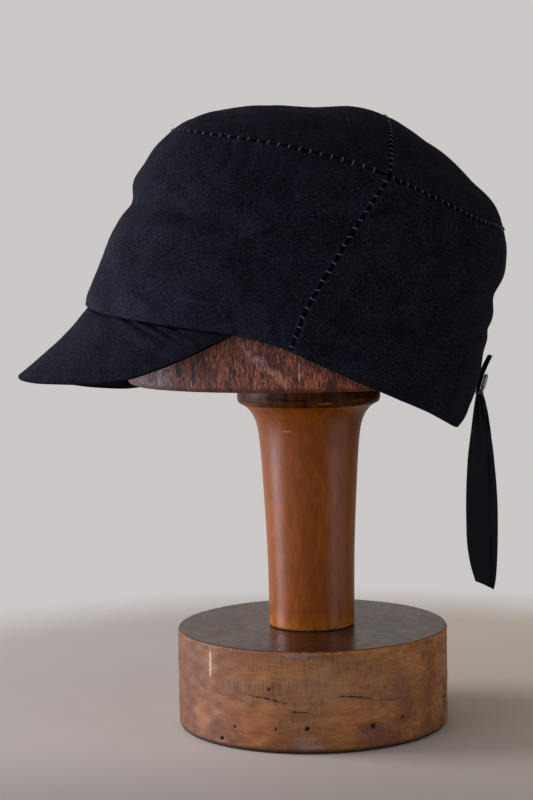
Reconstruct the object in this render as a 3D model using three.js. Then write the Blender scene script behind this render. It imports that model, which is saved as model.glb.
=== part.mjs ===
// A soft cloth field cap on a turned wooden hat stand.
//
// Millimetres, +Z up. The origin is the centre of the stand's underside. The peak points to -Y, and the
// wearer's left side faces +X. The cap is symmetrical about the plane X = 0, apart from its folds and the
// peak, which droops lower on the wearer's right.
import * as THREE from "three";
import { mergeVertices } from "three/addons/utils/BufferGeometryUtils.js";

// ---- Driving dimensions ------------------------------------------------------------------------------

const GAP = 0.35; // clearance between two pieces that touch on the real cap and stand
const CLOTH = 1.8; // doubled cap cloth
const SEAM_OPENING = 0.9; // open butt seam between two crown panels, bridged by ladder stitches
const WALL_HEIGHT = 95; // cloth from the hem to the top seam, along the slanted side seam
const SEAM_EDGE = 8e-4; // half the opening of the slanted seam, as a share of the half turn
const FACE_STEP = 1e-3; // step for the slope of the wall or the peak, as a share of its own coordinates
const TOP_STEP = 0.2; // step for the slope of the top

const BASE_RADIUS = 71.5;
const BASE_HEIGHT = 52.3;
const BASE_EDGE = 2.5; // worn round of the base's two rims

const BLOCK_UNDERSIDE = 182.5;
const BLOCK_EDGE = 3; // worn round of the block's lower rim

const PEAK_THICKNESS = 3.2; // two cloths with a soft filling between them
const PEAK_EDGE = 1.7; // the peak's thickness at its turned outer edge
const PEAK_END = 0.424; // where the peak ends on the hem, as a share of the half turn from the front
const PEAK_SAG = 1.6; // hollow of the peak between its seam and its outer edge, at the front
const PEAK_SWELL = 2.6; // swell of the peak between its seam and its outer edge, at the two sides
const PEAK_ENDS = 6; // the higher, the nearer to its two ends the peak keeps its sag and swell
const PEAK_THINNING = 4; // the higher, the nearer to its edge the peak keeps its thickness
const PEAK_FROM_HEM = 0.006; // start of the peak below the hem, as a share of its depth

const TAB_WIDTH = 12;
const TAB_THICKNESS = 1.5;
const BUTTON_RADIUS = 4.4;
const BUTTON_THICKNESS = 1.9;
const RIBBON_THICKNESS = 1.8; // the two flat runs of the doubled ribbon

// Side profile of the turned column, from its foot on the base to the collar under the block.
const COLUMN_SECTIONS = [
  { z: 0, radius: 22.6 },
  { z: 40, radius: 23.2 },
  { z: 80, radius: 25.1 },
  { z: 101, radius: 26.7 },
  { z: 110, radius: 28.7 },
  { z: 116, radius: 32.6 },
  { z: 119, radius: 37.2 },
];
const COLLAR_RADIUS = 37.8;
const COLLAR_EDGE = 1.2;

// Horizontal sections of the hat block. Each is an oval through its front, its back and its two sides.
const BLOCK_SECTIONS = [
  { z: 182.5, frontY: -94.5, backY: 86.0, halfWidth: 79.0 },
  { z: 205.0, frontY: -97.0, backY: 89.3, halfWidth: 80.0 },
  { z: 228.0, frontY: -99.0, backY: 92.3, halfWidth: 80.5 },
  { z: 248.0, frontY: -98.5, backY: 96.5, halfWidth: 80.0 },
  { z: 264.0, frontY: -92.0, backY: 95.0, halfWidth: 75.5 },
  { z: 279.0, frontY: -82.0, backY: 84.0, halfWidth: 68.5 },
  { z: 293.0, frontY: -71.5, backY: 71.5, halfWidth: 59.5 },
  { z: 304.0, frontY: -59.5, backY: 59.0, halfWidth: 48.5 },
  { z: 313.0, frontY: -46.0, backY: 45.0, halfWidth: 36.0 },
  { z: 319.5, frontY: -28.0, backY: 30.0, halfWidth: 20.0 },
];
const BLOCK_CROWN = { y: 0, z: 322.8 };
const BLOCK_POWER = 2.1;

// Rings of the cap's wall, from the hem (share 0) to the top seam (share 1). sideY is where a ring is
// widest, and where the slanted side seam crosses it.
const WALL_RINGS = [
  { share: 0.0, frontY: -116.0, sideY: -8.8, backY: 77.9, halfWidth: 84.0 },
  { share: 0.1, frontY: -113.4, sideY: -5.2, backY: 83.8, halfWidth: 85.4 },
  { share: 0.2, frontY: -109.8, sideY: -2.1, backY: 87.9, halfWidth: 86.0 },
  { share: 0.3, frontY: -106.2, sideY: 2.5, backY: 90.6, halfWidth: 86.1 },
  { share: 0.4, frontY: -102.4, sideY: 7.6, backY: 92.8, halfWidth: 85.4 },
  { share: 0.5, frontY: -97.4, sideY: 13.0, backY: 95.2, halfWidth: 84.2 },
  { share: 0.6, frontY: -92.9, sideY: 18.3, backY: 98.0, halfWidth: 82.4 },
  { share: 0.7, frontY: -89.0, sideY: 24.0, backY: 100.2, halfWidth: 80.0 },
  { share: 0.8, frontY: -84.2, sideY: 29.8, backY: 102.6, halfWidth: 76.6 },
  { share: 0.9, frontY: -78.3, sideY: 35.6, backY: 104.2, halfWidth: 72.0 },
  { share: 1.0, frontY: -69.0, sideY: 41.5, backY: 103.0, halfWidth: 66.0 },
];
const CROSS_SEAM_BOW = 2; // the cross seam bows back this far between the middle and each end
const RING_POWER = 2.2; // 2 would make each ring's quarters true ellipses

// Height of the hem, which is high over the forehead and low at the nape.
const HEM_LINE = [
  { y: -116, z: 224.2 },
  { y: -104, z: 221.5 },
  { y: -80, z: 217.8 },
  { y: -53, z: 214.0 },
  { y: -37, z: 211.5 },
  { y: -19, z: 207.0 },
  { y: -6, z: 201.8 },
  { y: 12, z: 193.1 },
  { y: 44, z: 177.8 },
  { y: 62, z: 168.3 },
  { y: 78, z: 157.1 },
];

// Height of the seam round the top, which slopes down to the back.
const TOP_SEAM_LINE = [
  { y: -69, z: 314.5 },
  { y: -40, z: 309.6 },
  { y: -2, z: 302.0 },
  { y: 22, z: 295.2 },
  { y: 41.5, z: 287.6 },
  { y: 64, z: 276.5 },
  { y: 85, z: 266.2 },
  { y: 103, z: 259.8 },
];

// Height of the top along its middle, from the front seam over the crown to the back seam.
const CROWN_LINE = [
  { y: -69, z: 314.5 },
  { y: -60, z: 320.0 },
  { y: -45, z: 324.2 },
  { y: -15, z: 326.1 },
  { y: 5, z: 324.9 },
  { y: 25, z: 325.2 },
  { y: 41, z: 320.4 },
  { y: 55, z: 312.0 },
  { y: 73, z: 299.0 },
  { y: 86, z: 286.0 },
  { y: 95, z: 276.4 },
  { y: 100.5, z: 267.8 },
  { y: 103, z: 259.8 },
];

// Outer edge of the peak. It hangs lower on the wearer's right than on the left.
const PEAK_EDGE_LINE = [
  { y: -153.5, leftZ: 187.8, rightZ: 187.8 },
  { y: -148, leftZ: 187.0, rightZ: 183.5 },
  { y: -133, leftZ: 187.3, rightZ: 179.0 },
  { y: -116, leftZ: 187.4, rightZ: 175.8 },
  { y: -98, leftZ: 188.7, rightZ: 175.8 },
  { y: -80, leftZ: 193.4, rightZ: 180.5 },
  { y: -54, leftZ: 203.4, rightZ: 198.5 },
  { y: -38, leftZ: 210.6, rightZ: 210.2 },
];
const PEAK_EDGE_HALF_WIDTH = 83.5;

// Folds and dents of the cloth. Each runs straight in side view between two places, swells out (+) or
// sinks in (-) by its depth, and fades over its width. side is left, right, or both.
const FOLDS = [
  { what: "forehead dent", side: "both", y1: -95, z1: 279, y2: -60, z2: 272, depth: -2.4, width: 6 },
  { what: "brow swell", side: "both", y1: -92, z1: 289, y2: -66, z2: 287, depth: 1.0, width: 7 },
  { what: "temple crease", side: "left", y1: -60, z1: 272, y2: -34, z2: 263, depth: -1.6, width: 5 },
  { what: "side slack", side: "left", y1: -42, z1: 262, y2: -10, z2: 283, depth: -1.4, width: 8 },
  { what: "ear slack", side: "both", y1: 14, z1: 205, y2: 40, z2: 228, depth: -1.6, width: 9 },
  { what: "right slack", side: "right", y1: -70, z1: 250, y2: -20, z2: 268, depth: -1.8, width: 9 },
  { what: "nape crease", side: "both", y1: 60, z1: 214, y2: 99, z2: 225, depth: -2.2, width: 6 },
  { what: "nape roll", side: "both", y1: 66, z1: 240, y2: 104, z2: 240, depth: 0.8, width: 8 },
  { what: "seam hollow", side: "both", y1: -36, z1: 300, y2: -6, z2: 292, depth: -1.2, width: 6 },
  { what: "top ridge", side: "left", y1: -22, z1: 321, y2: 30, z2: 312, depth: 1.1, width: 6 },
  { what: "back ridge", side: "both", y1: 52, z1: 300, y2: 92, z2: 272, depth: 1.2, width: 7 },
];
const FOLD_FADE = 9; // length over which a fold dies away past its two ends
const FOLD_MIDDLE = 12; // a fold on one side fades to nothing over this distance from the middle

// ---- Small helpers -----------------------------------------------------------------------------------

const clamp = (value, low, high) => Math.min(Math.max(value, low), high);
const mix = (a, b, share) => a + (b - a) * share;

// A smooth curve through the rows of a table: gives one column at a value of another.
function curveThrough(rows, key, column) {
  const at = rows.map((row) => row[key]);
  const value = rows.map((row) => row[column]);
  const slope = at.map((_, i) => {
    const before = Math.max(i - 1, 0);
    const after = Math.min(i + 1, at.length - 1);
    return (value[after] - value[before]) / (at[after] - at[before]);
  });
  return (place) => {
    let i = 0;
    while (i < at.length - 2 && place > at[i + 1]) i += 1;
    const span = at[i + 1] - at[i];
    const s = clamp((place - at[i]) / span, 0, 1);
    const rise = s * s * (3 - 2 * s);
    const leave = s * (1 - s) * (1 - s) * span * slope[i];
    const arrive = s * s * (s - 1) * span * slope[i + 1];
    return mix(value[i], value[i + 1], rise) + leave + arrive;
  };
}

// A signed power, for ovals that are a little squarer than ellipses.
const bowed = (value, power) => Math.sign(value) * Math.abs(value) ** (2 / power);

// A point of an oval at an angle from its front (-Y), turning towards the wearer's left (+X).
function onOval(angle, frontY, sideY, backY, halfWidth, power) {
  const reach = Math.cos(angle) > 0 ? sideY - frontY : backY - sideY;
  return { x: halfWidth * bowed(Math.sin(angle), power), y: sideY - reach * bowed(Math.cos(angle), power) };
}

// A closed solid from grids of points: its outer face, its inner face, and a strip round the edge. Rows
// or columns of points that fall together are closed without a strip.
function solidBetween(outer, inner) {
  const rows = outer.length;
  const columns = outer[0].length;
  const corners = [];
  const quad = (a, b, c, d) => corners.push(a, b, c, a, c, d);
  for (let i = 0; i < rows - 1; i += 1) {
    for (let j = 0; j < columns - 1; j += 1) {
      quad(outer[i][j], outer[i][j + 1], outer[i + 1][j + 1], outer[i + 1][j]);
      quad(inner[i][j], inner[i + 1][j], inner[i + 1][j + 1], inner[i][j + 1]);
    }
  }
  const last = columns - 1;
  for (let i = 0; i < rows - 1; i += 1) {
    quad(outer[i][0], outer[i + 1][0], inner[i + 1][0], inner[i][0]);
    quad(outer[i + 1][last], outer[i][last], inner[i][last], inner[i + 1][last]);
  }
  const end = rows - 1;
  for (let j = 0; j < last; j += 1) {
    quad(outer[0][j + 1], outer[0][j], inner[0][j], inner[0][j + 1]);
    quad(outer[end][j], outer[end][j + 1], inner[end][j + 1], inner[end][j]);
  }
  return closedGeometry(corners);
}

// A geometry from the corners of triangles, with shared corners merged and flat triangles dropped.
function closedGeometry(corners) {
  const loose = new THREE.BufferGeometry().setFromPoints(corners);
  const merged = mergeVertices(loose, 1e-4);
  const kept = [];
  const index = merged.index.array;
  for (let i = 0; i < index.length; i += 3) {
    const [a, b, c] = index.slice(i, i + 3);
    if (a !== b && b !== c && c !== a) kept.push(a, b, c);
  }
  merged.setIndex(kept);
  merged.computeVertexNormals();
  return merged;
}

// A grid of points from a function of two shares.
function gridOf(rows, columns, pointAt) {
  const shares = (count) => Array.from({ length: count + 1 }, (_, i) => i / count);
  return shares(rows).map((i) => shares(columns).map((j) => pointAt(i, j)));
}

// The outward direction of a surface at one place, from its slope in both directions.
function outward(surface, a, b, step) {
  const alongA = surface(a + step, b).sub(surface(a - step, b));
  const alongB = surface(a, b + step).sub(surface(a, b - step));
  return alongA.cross(alongB).normalize();
}

// ---- The cloth's two surfaces: the wall and the top -----------------------------------------------------

const ring = {
  frontY: curveThrough(WALL_RINGS, "share", "frontY"),
  sideY: curveThrough(WALL_RINGS, "share", "sideY"),
  backY: curveThrough(WALL_RINGS, "share", "backY"),
  halfWidth: curveThrough(WALL_RINGS, "share", "halfWidth"),
};
const hemZ = curveThrough(HEM_LINE, "y", "z");
const topSeamZ = curveThrough(TOP_SEAM_LINE, "y", "z");
const crownZ = curveThrough(CROWN_LINE, "y", "z");
const SEAM_RING = WALL_RINGS.at(-1);

function ringPoint(turn, share) {
  const [front, side] = [ring.frontY(share), ring.sideY(share)];
  return onOval(turn * Math.PI, front, side, ring.backY(share), ring.halfWidth(share), RING_POWER);
}

// How far a fold table lifts the cloth at a point.
function foldLift(point) {
  let lift = 0;
  for (const fold of FOLDS) {
    if (fold.side === "left" && point.x < 0) continue;
    if (fold.side === "right" && point.x > 0) continue;
    const run = new THREE.Vector2(fold.y2 - fold.y1, fold.z2 - fold.z1);
    const from = new THREE.Vector2(point.y - fold.y1, point.z - fold.z1);
    const length = run.length();
    const along = from.dot(run) / length;
    const aside = from.cross(run) / length / fold.width;
    const past = Math.max(-along, along - length, 0) / FOLD_FADE;
    const middle = fold.side === "both" ? 1 : Math.min(Math.abs(point.x) / FOLD_MIDDLE, 1);
    lift += fold.depth * middle * Math.exp(-aside * aside - past * past);
  }
  return lift;
}

// The wall before its folds: turn runs from the front (0) over the left (0.5) to the back (1).
function smoothWall(turn, share) {
  const hem = ringPoint(turn, 0);
  const seam = ringPoint(turn, 1);
  const here = ringPoint(turn, share);
  return new THREE.Vector3(here.x, here.y, mix(hemZ(hem.y), topSeamZ(seam.y), share));
}

function wall(turn, share, lift) {
  const point = smoothWall(turn, share);
  const inside = clamp(share, FACE_STEP, 1 - FACE_STEP);
  const direction = outward(smoothWall, turn, inside, FACE_STEP);
  return point.addScaledVector(direction, foldLift(point) + lift);
}

// Half the width of the top at a place along it.
function topHalfWidth(y) {
  const reach = y < SEAM_RING.sideY ? SEAM_RING.sideY - SEAM_RING.frontY : SEAM_RING.backY - SEAM_RING.sideY;
  const share = clamp(Math.abs(SEAM_RING.sideY - y) / reach, 0, 1);
  return SEAM_RING.halfWidth * (1 - share ** RING_POWER) ** (1 / RING_POWER);
}

// The top arches between the seam on its left and right.
function smoothTop(x, y) {
  const across = Math.min(Math.abs(x) / Math.max(topHalfWidth(y), 1), 1);
  return new THREE.Vector3(x, y, mix(crownZ(y), topSeamZ(y), across * across));
}

function top(x, y, lift) {
  const point = smoothTop(x, y);
  const direction = outward(smoothTop, x, y, TOP_STEP);
  return point.addScaledVector(direction, foldLift(point) + lift);
}

// ---- The cap ------------------------------------------------------------------------------------------

function wallPanel(fromTurn, toTurn, columns, rows) {
  const highest = 1 - SEAM_OPENING / 2 / WALL_HEIGHT;
  const face = (lift) =>
    gridOf(rows, columns, (i, j) =>
      wall(mix(fromTurn + SEAM_EDGE, toTurn - SEAM_EDGE, j), mix(0, highest, i), lift),
    );
  return solidBetween(face(0), face(-CLOTH));
}

// A panel of the top, in rows across it. Its outline is the seam's oval, drawn in by half the opening.
function topPanel(fromAngle, toAngle, columns, rows) {
  const half = SEAM_OPENING / 2;
  const point = (i, j, lift) => {
    const seam = onOval(
      mix(fromAngle, toAngle, i),
      SEAM_RING.frontY + half,
      SEAM_RING.sideY,
      SEAM_RING.backY - half,
      SEAM_RING.halfWidth - half,
      RING_POWER,
    );
    const aside = 2 * j - 1;
    const bow = CROSS_SEAM_BOW * 4 * Math.abs(aside) * (1 - Math.abs(aside));
    const shift = fromAngle < 1 ? (bow - half) * i : (bow + half) * (1 - i);
    return top(seam.x * aside, seam.y + shift, lift);
  };
  const face = (lift) => gridOf(rows, columns, (i, j) => point(i, j, lift));
  return solidBetween(face(0), face(-CLOTH));
}

const peakZ = {
  left: curveThrough(PEAK_EDGE_LINE, "y", "leftZ"),
  right: curveThrough(PEAK_EDGE_LINE, "y", "rightZ"),
};

// The peak's upper face: side runs from its right end (-1) to its left end (1), out from the hem (0) to
// the outer edge (1).
function smoothPeak(side, out) {
  const hem = smoothWall(side * PEAK_END, 0);
  const last = PEAK_EDGE_LINE.at(-1).y;
  const angle = (side * Math.PI) / 2;
  const edge = onOval(angle, PEAK_EDGE_LINE[0].y, last, last, PEAK_EDGE_HALF_WIDTH, 2);
  const edgeZ = (side > 0 ? peakZ.left : peakZ.right)(edge.y);
  const rim = new THREE.Vector3(edge.x, edge.y, edgeZ);
  return hem.lerp(rim, out);
}

function peakFace(side, out, depth) {
  const point = smoothPeak(side, out);
  const inner = clamp(side, -1 + FACE_STEP, 1 - FACE_STEP);
  const between = clamp(out, FACE_STEP, 1 - FACE_STEP);
  const direction = outward(smoothPeak, inner, between, FACE_STEP).negate();
  const bend = mix(-PEAK_SAG, PEAK_SWELL, side * side) * 4 * out * (1 - out) * (1 - side ** PEAK_ENDS);
  return point.addScaledVector(direction, bend - depth);
}

function peakPiece(columns, rows) {
  const face = (i, j, depth) => peakFace(mix(-1, 1, j), mix(PEAK_FROM_HEM, 1, i), GAP + depth);
  const upper = gridOf(rows, columns, (i, j) => face(i, j, 0));
  const lower = gridOf(rows, columns, (i, j) => {
    return face(i, j, mix(PEAK_THICKNESS, PEAK_EDGE, i ** PEAK_THINNING));
  });
  return solidBetween(lower, upper);
}

// A flat outline in the plane of the cap's middle, given thickness across that plane.
function acrossMiddle(outline, width) {
  const geometry = new THREE.ExtrudeGeometry(outline, { depth: width, bevelEnabled: false });
  geometry.translate(0, 0, -width / 2);
  const turn = new THREE.Matrix4().makeBasis(
    new THREE.Vector3(0, 1, 0),
    new THREE.Vector3(0, 0, 1),
    new THREE.Vector3(1, 0, 0),
  );
  return geometry.applyMatrix4(turn);
}

// The tab lies on the nape and bends away from it at its free upper end.
const TAB_LINE = [
  { y: 88.2, z: 176.2 },
  { y: 89.7, z: 181.7 },
  { y: 91.2, z: 186.4 },
  { y: 93.0, z: 190.4 },
  { y: 95.3, z: 194.8 },
];

const TAB_STEPS = 8;

function tabPiece() {
  const near = TAB_LINE.map((p) => new THREE.Vector2(p.y, p.z));
  const line = new THREE.SplineCurve(near);
  const edge = (aside) =>
    Array.from({ length: TAB_STEPS + 1 }, (_, i) => {
      const along = line.getTangent(i / TAB_STEPS);
      const sideways = new THREE.Vector2(along.y, -along.x).multiplyScalar(aside);
      return line.getPoint(i / TAB_STEPS).add(sideways);
    });
  return acrossMiddle(new THREE.Shape([...edge(TAB_THICKNESS), ...edge(0).reverse()]), TAB_WIDTH);
}

const BUTTON_SEAT = { y: 91.7, z: 180.4 }; // middle of the button's back, on the tab's outer face
const BUTTON_TILT = -16; // degrees that the button faces down, as the tab does there

// A turned button, dished inside its rim.
function buttonPiece() {
  const profile = [
    { radius: 0, height: 0 },
    { radius: 0.8, height: 0 },
    { radius: 1, height: 0.35 },
    { radius: 1, height: 0.7 },
    { radius: 0.86, height: 1 },
    { radius: 0.66, height: 0.7 },
    { radius: 0, height: 0.7 },
  ];
  const points = profile.map(
    (row) => new THREE.Vector2(row.radius * BUTTON_RADIUS, row.height * BUTTON_THICKNESS),
  );
  return new THREE.LatheGeometry(points, 20);
}

// Two edges of the hanging ribbon, gathered at its top and cut on the slant at its foot.
const RIBBON_EDGES = [
  { z: 175.4, innerY: 88.6, outerY: 91.4 },
  { z: 168.0, innerY: 87.2, outerY: 93.6 },
  { z: 154.0, innerY: 85.3, outerY: 95.8 },
  { z: 140.0, innerY: 83.5, outerY: 97.4 },
  { z: 122.0, innerY: 82.5, outerY: 98.9 },
  { z: 106.0, innerY: 82.4, outerY: 99.3 },
  { z: 93.0, innerY: 82.9, outerY: 99.1 },
  { z: 82.0, innerY: 84.7, outerY: 98.6 },
];
const RIBBON_FOOT = { innerY: 86.9, innerZ: 74.2, outerY: 96.9, outerZ: 69.2 };

function ribbonPiece() {
  const inner = RIBBON_EDGES.map((row) => new THREE.Vector2(row.innerY, row.z));
  const outer = RIBBON_EDGES.map((row) => new THREE.Vector2(row.outerY, row.z)).reverse();
  const foot = [
    new THREE.Vector2(RIBBON_FOOT.innerY, RIBBON_FOOT.innerZ),
    new THREE.Vector2(RIBBON_FOOT.outerY, RIBBON_FOOT.outerZ),
  ];
  return acrossMiddle(new THREE.Shape([...inner, ...foot, ...outer]), RIBBON_THICKNESS);
}

// ---- The stand ------------------------------------------------------------------------------------------

function turned(profile, segments) {
  const points = profile.map(([radius, z]) => new THREE.Vector2(radius, z));
  return new THREE.LatheGeometry(points, segments).rotateX(Math.PI / 2);
}

// A quarter round for a turned profile, about a centre, from one angle to another.
function roundOf(centreRadius, centreZ, radius, fromAngle, steps) {
  return Array.from({ length: steps + 1 }, (_, i) => {
    const angle = fromAngle + (i / steps) * (Math.PI / 2);
    return [centreRadius + radius * Math.cos(angle), centreZ + radius * Math.sin(angle)];
  });
}

function basePiece() {
  const inner = BASE_RADIUS - BASE_EDGE;
  const profile = [
    [0, 0],
    ...roundOf(inner, BASE_EDGE, BASE_EDGE, -Math.PI / 2, 3),
    ...roundOf(inner, BASE_HEIGHT - BASE_EDGE, BASE_EDGE, 0, 3),
    [0, BASE_HEIGHT],
  ];
  return turned(profile, 64);
}

function columnPiece() {
  const radiusAt = curveThrough(COLUMN_SECTIONS, "z", "radius");
  const flare = COLUMN_SECTIONS.at(-1).z;
  const height = BLOCK_UNDERSIDE - BASE_HEIGHT - 2 * GAP;
  const stops = [0, 25, 50, 70, 85, 95, 102, 107, 111, 114, 116.5, flare];
  const collar = COLLAR_RADIUS - COLLAR_EDGE;
  const profile = [
    [0, 0],
    ...stops.map((z) => [radiusAt(z), z]),
    ...roundOf(collar, height - COLLAR_EDGE, COLLAR_EDGE, 0, 2),
    [0, height],
  ];
  return turned(profile, 40);
}

function blockPiece() {
  const frontAt = curveThrough(BLOCK_SECTIONS, "z", "frontY");
  const backAt = curveThrough(BLOCK_SECTIONS, "z", "backY");
  const halfWidthAt = curveThrough(BLOCK_SECTIONS, "z", "halfWidth");
  const columns = 48;
  const ringAt = (z, inset) => {
    const [frontY, backY, halfWidth] = [frontAt(z), backAt(z), halfWidthAt(z)];
    const middle = (frontY + backY) / 2;
    return Array.from({ length: columns + 1 }, (_, j) => {
      const angle = (j / columns) * 2 * Math.PI;
      const oval = onOval(angle, frontY + inset, middle, backY - inset, halfWidth - inset, BLOCK_POWER);
      return new THREE.Vector3(j === columns ? 0 : oval.x, oval.y, z);
    });
  };
  const pole = (y, z) => Array.from({ length: columns + 1 }, () => new THREE.Vector3(0, y, z));
  const edge = BLOCK_UNDERSIDE + BLOCK_EDGE;
  const rings = [
    pole(0, BLOCK_UNDERSIDE),
    ringAt(BLOCK_UNDERSIDE, BLOCK_EDGE),
    ringAt(BLOCK_UNDERSIDE + BLOCK_EDGE * 0.3, BLOCK_EDGE * 0.3),
    ringAt(edge, 0),
    ...BLOCK_SECTIONS.slice(1).map((row) => ringAt(row.z, 0)),
    pole(BLOCK_CROWN.y, BLOCK_CROWN.z),
  ];
  const corners = [];
  for (let i = 0; i < rings.length - 1; i += 1) {
    for (let j = 0; j < columns; j += 1) {
      const [a, b, c, d] = [rings[i][j], rings[i][j + 1], rings[i + 1][j + 1], rings[i + 1][j]];
      corners.push(a, b, c, a, c, d);
    }
  }
  return closedGeometry(corners);
}

// ---- Materials and the finished group --------------------------------------------------------------------

const finish = (color, roughness) => new THREE.MeshStandardMaterial({ color, roughness, metalness: 0 });
const capCloth = finish("#1b1b24", 0.92);
const ribbonTape = finish("#131114", 0.8);
const horn = finish("#525656", 0.4);
const blockWood = finish("#583735", 0.75);
const columnWood = finish("#5e3a29", 0.35);
const baseWood = finish("#80583f", 0.6);

function piece(name, geometry, material) {
  const mesh = new THREE.Mesh(geometry, material);
  mesh.name = name;
  return mesh;
}

const cap = new THREE.Group();
cap.add(
  piece("side_front", wallPanel(-0.5, 0.5, 44, 13), capCloth),
  piece("side_back", wallPanel(0.5, 1.5, 40, 14), capCloth),
  piece("crown_top_front", topPanel(0, Math.PI / 2, 16, 16), capCloth),
  piece("crown_top_back", topPanel(Math.PI / 2, Math.PI, 16, 13), capCloth),
  piece("peak", peakPiece(34, 6), capCloth),
  piece("back_tab", tabPiece(), capCloth),
  piece("tie_ribbon", ribbonPiece(), ribbonTape),
);

const button = piece("tab_button", buttonPiece(), horn);
button.position.set(0, BUTTON_SEAT.y, BUTTON_SEAT.z);
button.rotation.x = THREE.MathUtils.degToRad(BUTTON_TILT);
cap.add(button);

const stand = new THREE.Group();
const column = piece("column", columnPiece(), columnWood);
column.position.z = BASE_HEIGHT + GAP;
stand.add(piece("base", basePiece(), baseWood), column, piece("hat_block", blockPiece(), blockWood));

const group = new THREE.Group();
group.add(cap, stand);
export default group;
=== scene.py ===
# %% [markdown]
# # A field cap on its wooden hat stand
#
# A soft cap of doubled black cloth sits on a hat maker's block. Its wall is two panels and its top two
# more. They meet edge to edge and are held together by ladder stitches, so the seams are open grooves
# with small bars of thread across them. A soft peak is sewn under the front, and a horn button and a
# hanging ribbon finish the nape. The block stands on a turned column and a thick round base.
#
# The solid model gives every piece its place and its size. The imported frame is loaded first, and each
# piece made below either stands in for one of its solids or is added to it.

# %% Load the frame
import math

import bpy
import numpy as np
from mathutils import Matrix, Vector
from mathutils.kdtree import KDTree


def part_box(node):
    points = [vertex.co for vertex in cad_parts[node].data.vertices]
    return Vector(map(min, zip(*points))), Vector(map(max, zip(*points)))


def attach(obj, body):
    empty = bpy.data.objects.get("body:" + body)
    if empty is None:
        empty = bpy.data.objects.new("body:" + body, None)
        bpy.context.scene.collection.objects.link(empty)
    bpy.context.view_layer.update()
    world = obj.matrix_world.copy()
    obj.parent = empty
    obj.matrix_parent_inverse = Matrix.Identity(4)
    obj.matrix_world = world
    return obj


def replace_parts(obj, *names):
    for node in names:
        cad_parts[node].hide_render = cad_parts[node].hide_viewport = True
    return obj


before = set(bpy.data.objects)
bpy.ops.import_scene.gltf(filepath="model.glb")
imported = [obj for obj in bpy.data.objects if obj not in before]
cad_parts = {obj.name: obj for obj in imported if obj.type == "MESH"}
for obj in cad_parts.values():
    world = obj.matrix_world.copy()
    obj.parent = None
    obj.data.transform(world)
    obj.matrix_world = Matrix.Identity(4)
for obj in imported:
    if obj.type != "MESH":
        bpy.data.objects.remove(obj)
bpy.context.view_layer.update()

# %% [markdown]
# ## The camera
#
# The cap is seen from its left side, from a little above the hem, through a lens of about 90 mm. A long
# lens flattens the oval of the base and keeps the peak from looking too large. The camera leans by one
# degree, as a camera held by hand does.

# %% Place the camera
MM = 0.001  # tables below are in millimetres, and Blender's unit is the metre
CAMERA_PLACE = (1.0653, 0.0, 0.26938)
CAMERA_TURN = (84.795, 0.981, 91.109)  # degrees: 5.2 down, one sideways, and looking along -X
camera_data = bpy.data.cameras.new("camera")
camera_data.sensor_width = 36.0
camera_data.lens = 91.154
camera_data.clip_start = 0.01
camera = bpy.data.objects.new("camera", camera_data)
camera.location = CAMERA_PLACE
camera.rotation_euler = [math.radians(a) for a in CAMERA_TURN]
bpy.context.scene.collection.objects.link(camera)
bpy.context.scene.camera = camera
bpy.context.scene.view_settings.view_transform = "Standard"
print("camera", round(math.dist(CAMERA_PLACE, (0, 0, 0.2)), 3), "m from the cap")

# %% [markdown]
# ## Smooth curves through a few measured places
#
# A cap has no straight lines, yet a few measured rings and heights are enough to describe it. A cubic
# curve through them gives every place between. This is how a boat builder draws a hull: a short table of
# sections, and a springy batten laid through the marks.


# %% A curve through marks
def curve(places, values):
    """A smooth curve that passes through each value at its place, and stays level past the two ends."""
    places, values = np.array(places, float), np.array(values, float)
    before, after = np.arange(len(places)) - 1, np.arange(len(places)) + 1
    before[0], after[-1] = 0, len(places) - 1
    slope = (values[after] - values[before]) / (places[after] - places[before])

    def at(place):
        i = np.clip(np.searchsorted(places, place, side="right") - 1, 0, len(places) - 2)
        gap = places[i + 1] - places[i]
        s = np.clip((place - places[i]) / gap, 0, 1)
        rise = s * s * (3 - 2 * s)
        leave = s * (1 - s) ** 2 * gap * slope[i]
        arrive = s * s * (s - 1) * gap * slope[i + 1]
        return values[i] + (values[i + 1] - values[i]) * rise + leave + arrive

    return at


# %% Ovals a little squarer than ellipses
def bowed(value, power):
    return np.sign(value) * np.abs(value) ** (2 / power)


def on_oval(angle, front, side, back, half_width, power):
    """A place on an oval, turning from its front (-Y) towards the wearer's left (+X)."""
    reach = np.where(np.cos(angle) > 0, side - front, back - side)
    return half_width * bowed(np.sin(angle), power), side - reach * bowed(np.cos(angle), power)


# %% [markdown]
# ## The wall and the top of the cap
#
# The wall is a stack of rings, from the hem up to the seam round the top. Each ring is a little squarer
# than an ellipse and lies further back than the one below. The hem is high over the forehead and low at
# the nape, and the seam slopes down to the back, so a ring's height is mixed from those two lines. The
# top arches over the seam ring.

# %% Rings and lines of the cap
WALL_RINGS = {
    "share": (0, 0.1, 0.2, 0.3, 0.4, 0.5, 0.6, 0.7, 0.8, 0.9, 1),
    "front": (-116, -113.4, -109.8, -106.2, -102.4, -97.4, -92.9, -89, -84.2, -78.3, -69),
    "side": (-8.8, -5.2, -2.1, 2.5, 7.6, 13, 18.3, 24, 29.8, 35.6, 41.5),
    "back": (77.9, 83.8, 87.9, 90.6, 92.8, 95.2, 98, 100.2, 102.6, 104.2, 103),
    "half_width": (84, 85.4, 86, 86.1, 85.4, 84.2, 82.4, 80, 76.6, 72, 66),
}
ring = {name: curve(WALL_RINGS["share"], row) for name, row in WALL_RINGS.items()}
hem_z = curve(
    (-116, -104, -80, -53, -37, -19, -6, 12, 44, 62, 78),
    (224.2, 221.5, 217.8, 214, 211.5, 207, 201.8, 193.1, 177.8, 168.3, 157.1),
)
top_seam_z = curve(
    (-69, -40, -2, 22, 41.5, 64, 85, 103),
    (314.5, 309.6, 302, 295.2, 287.6, 276.5, 266.2, 259.8),
)
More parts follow.
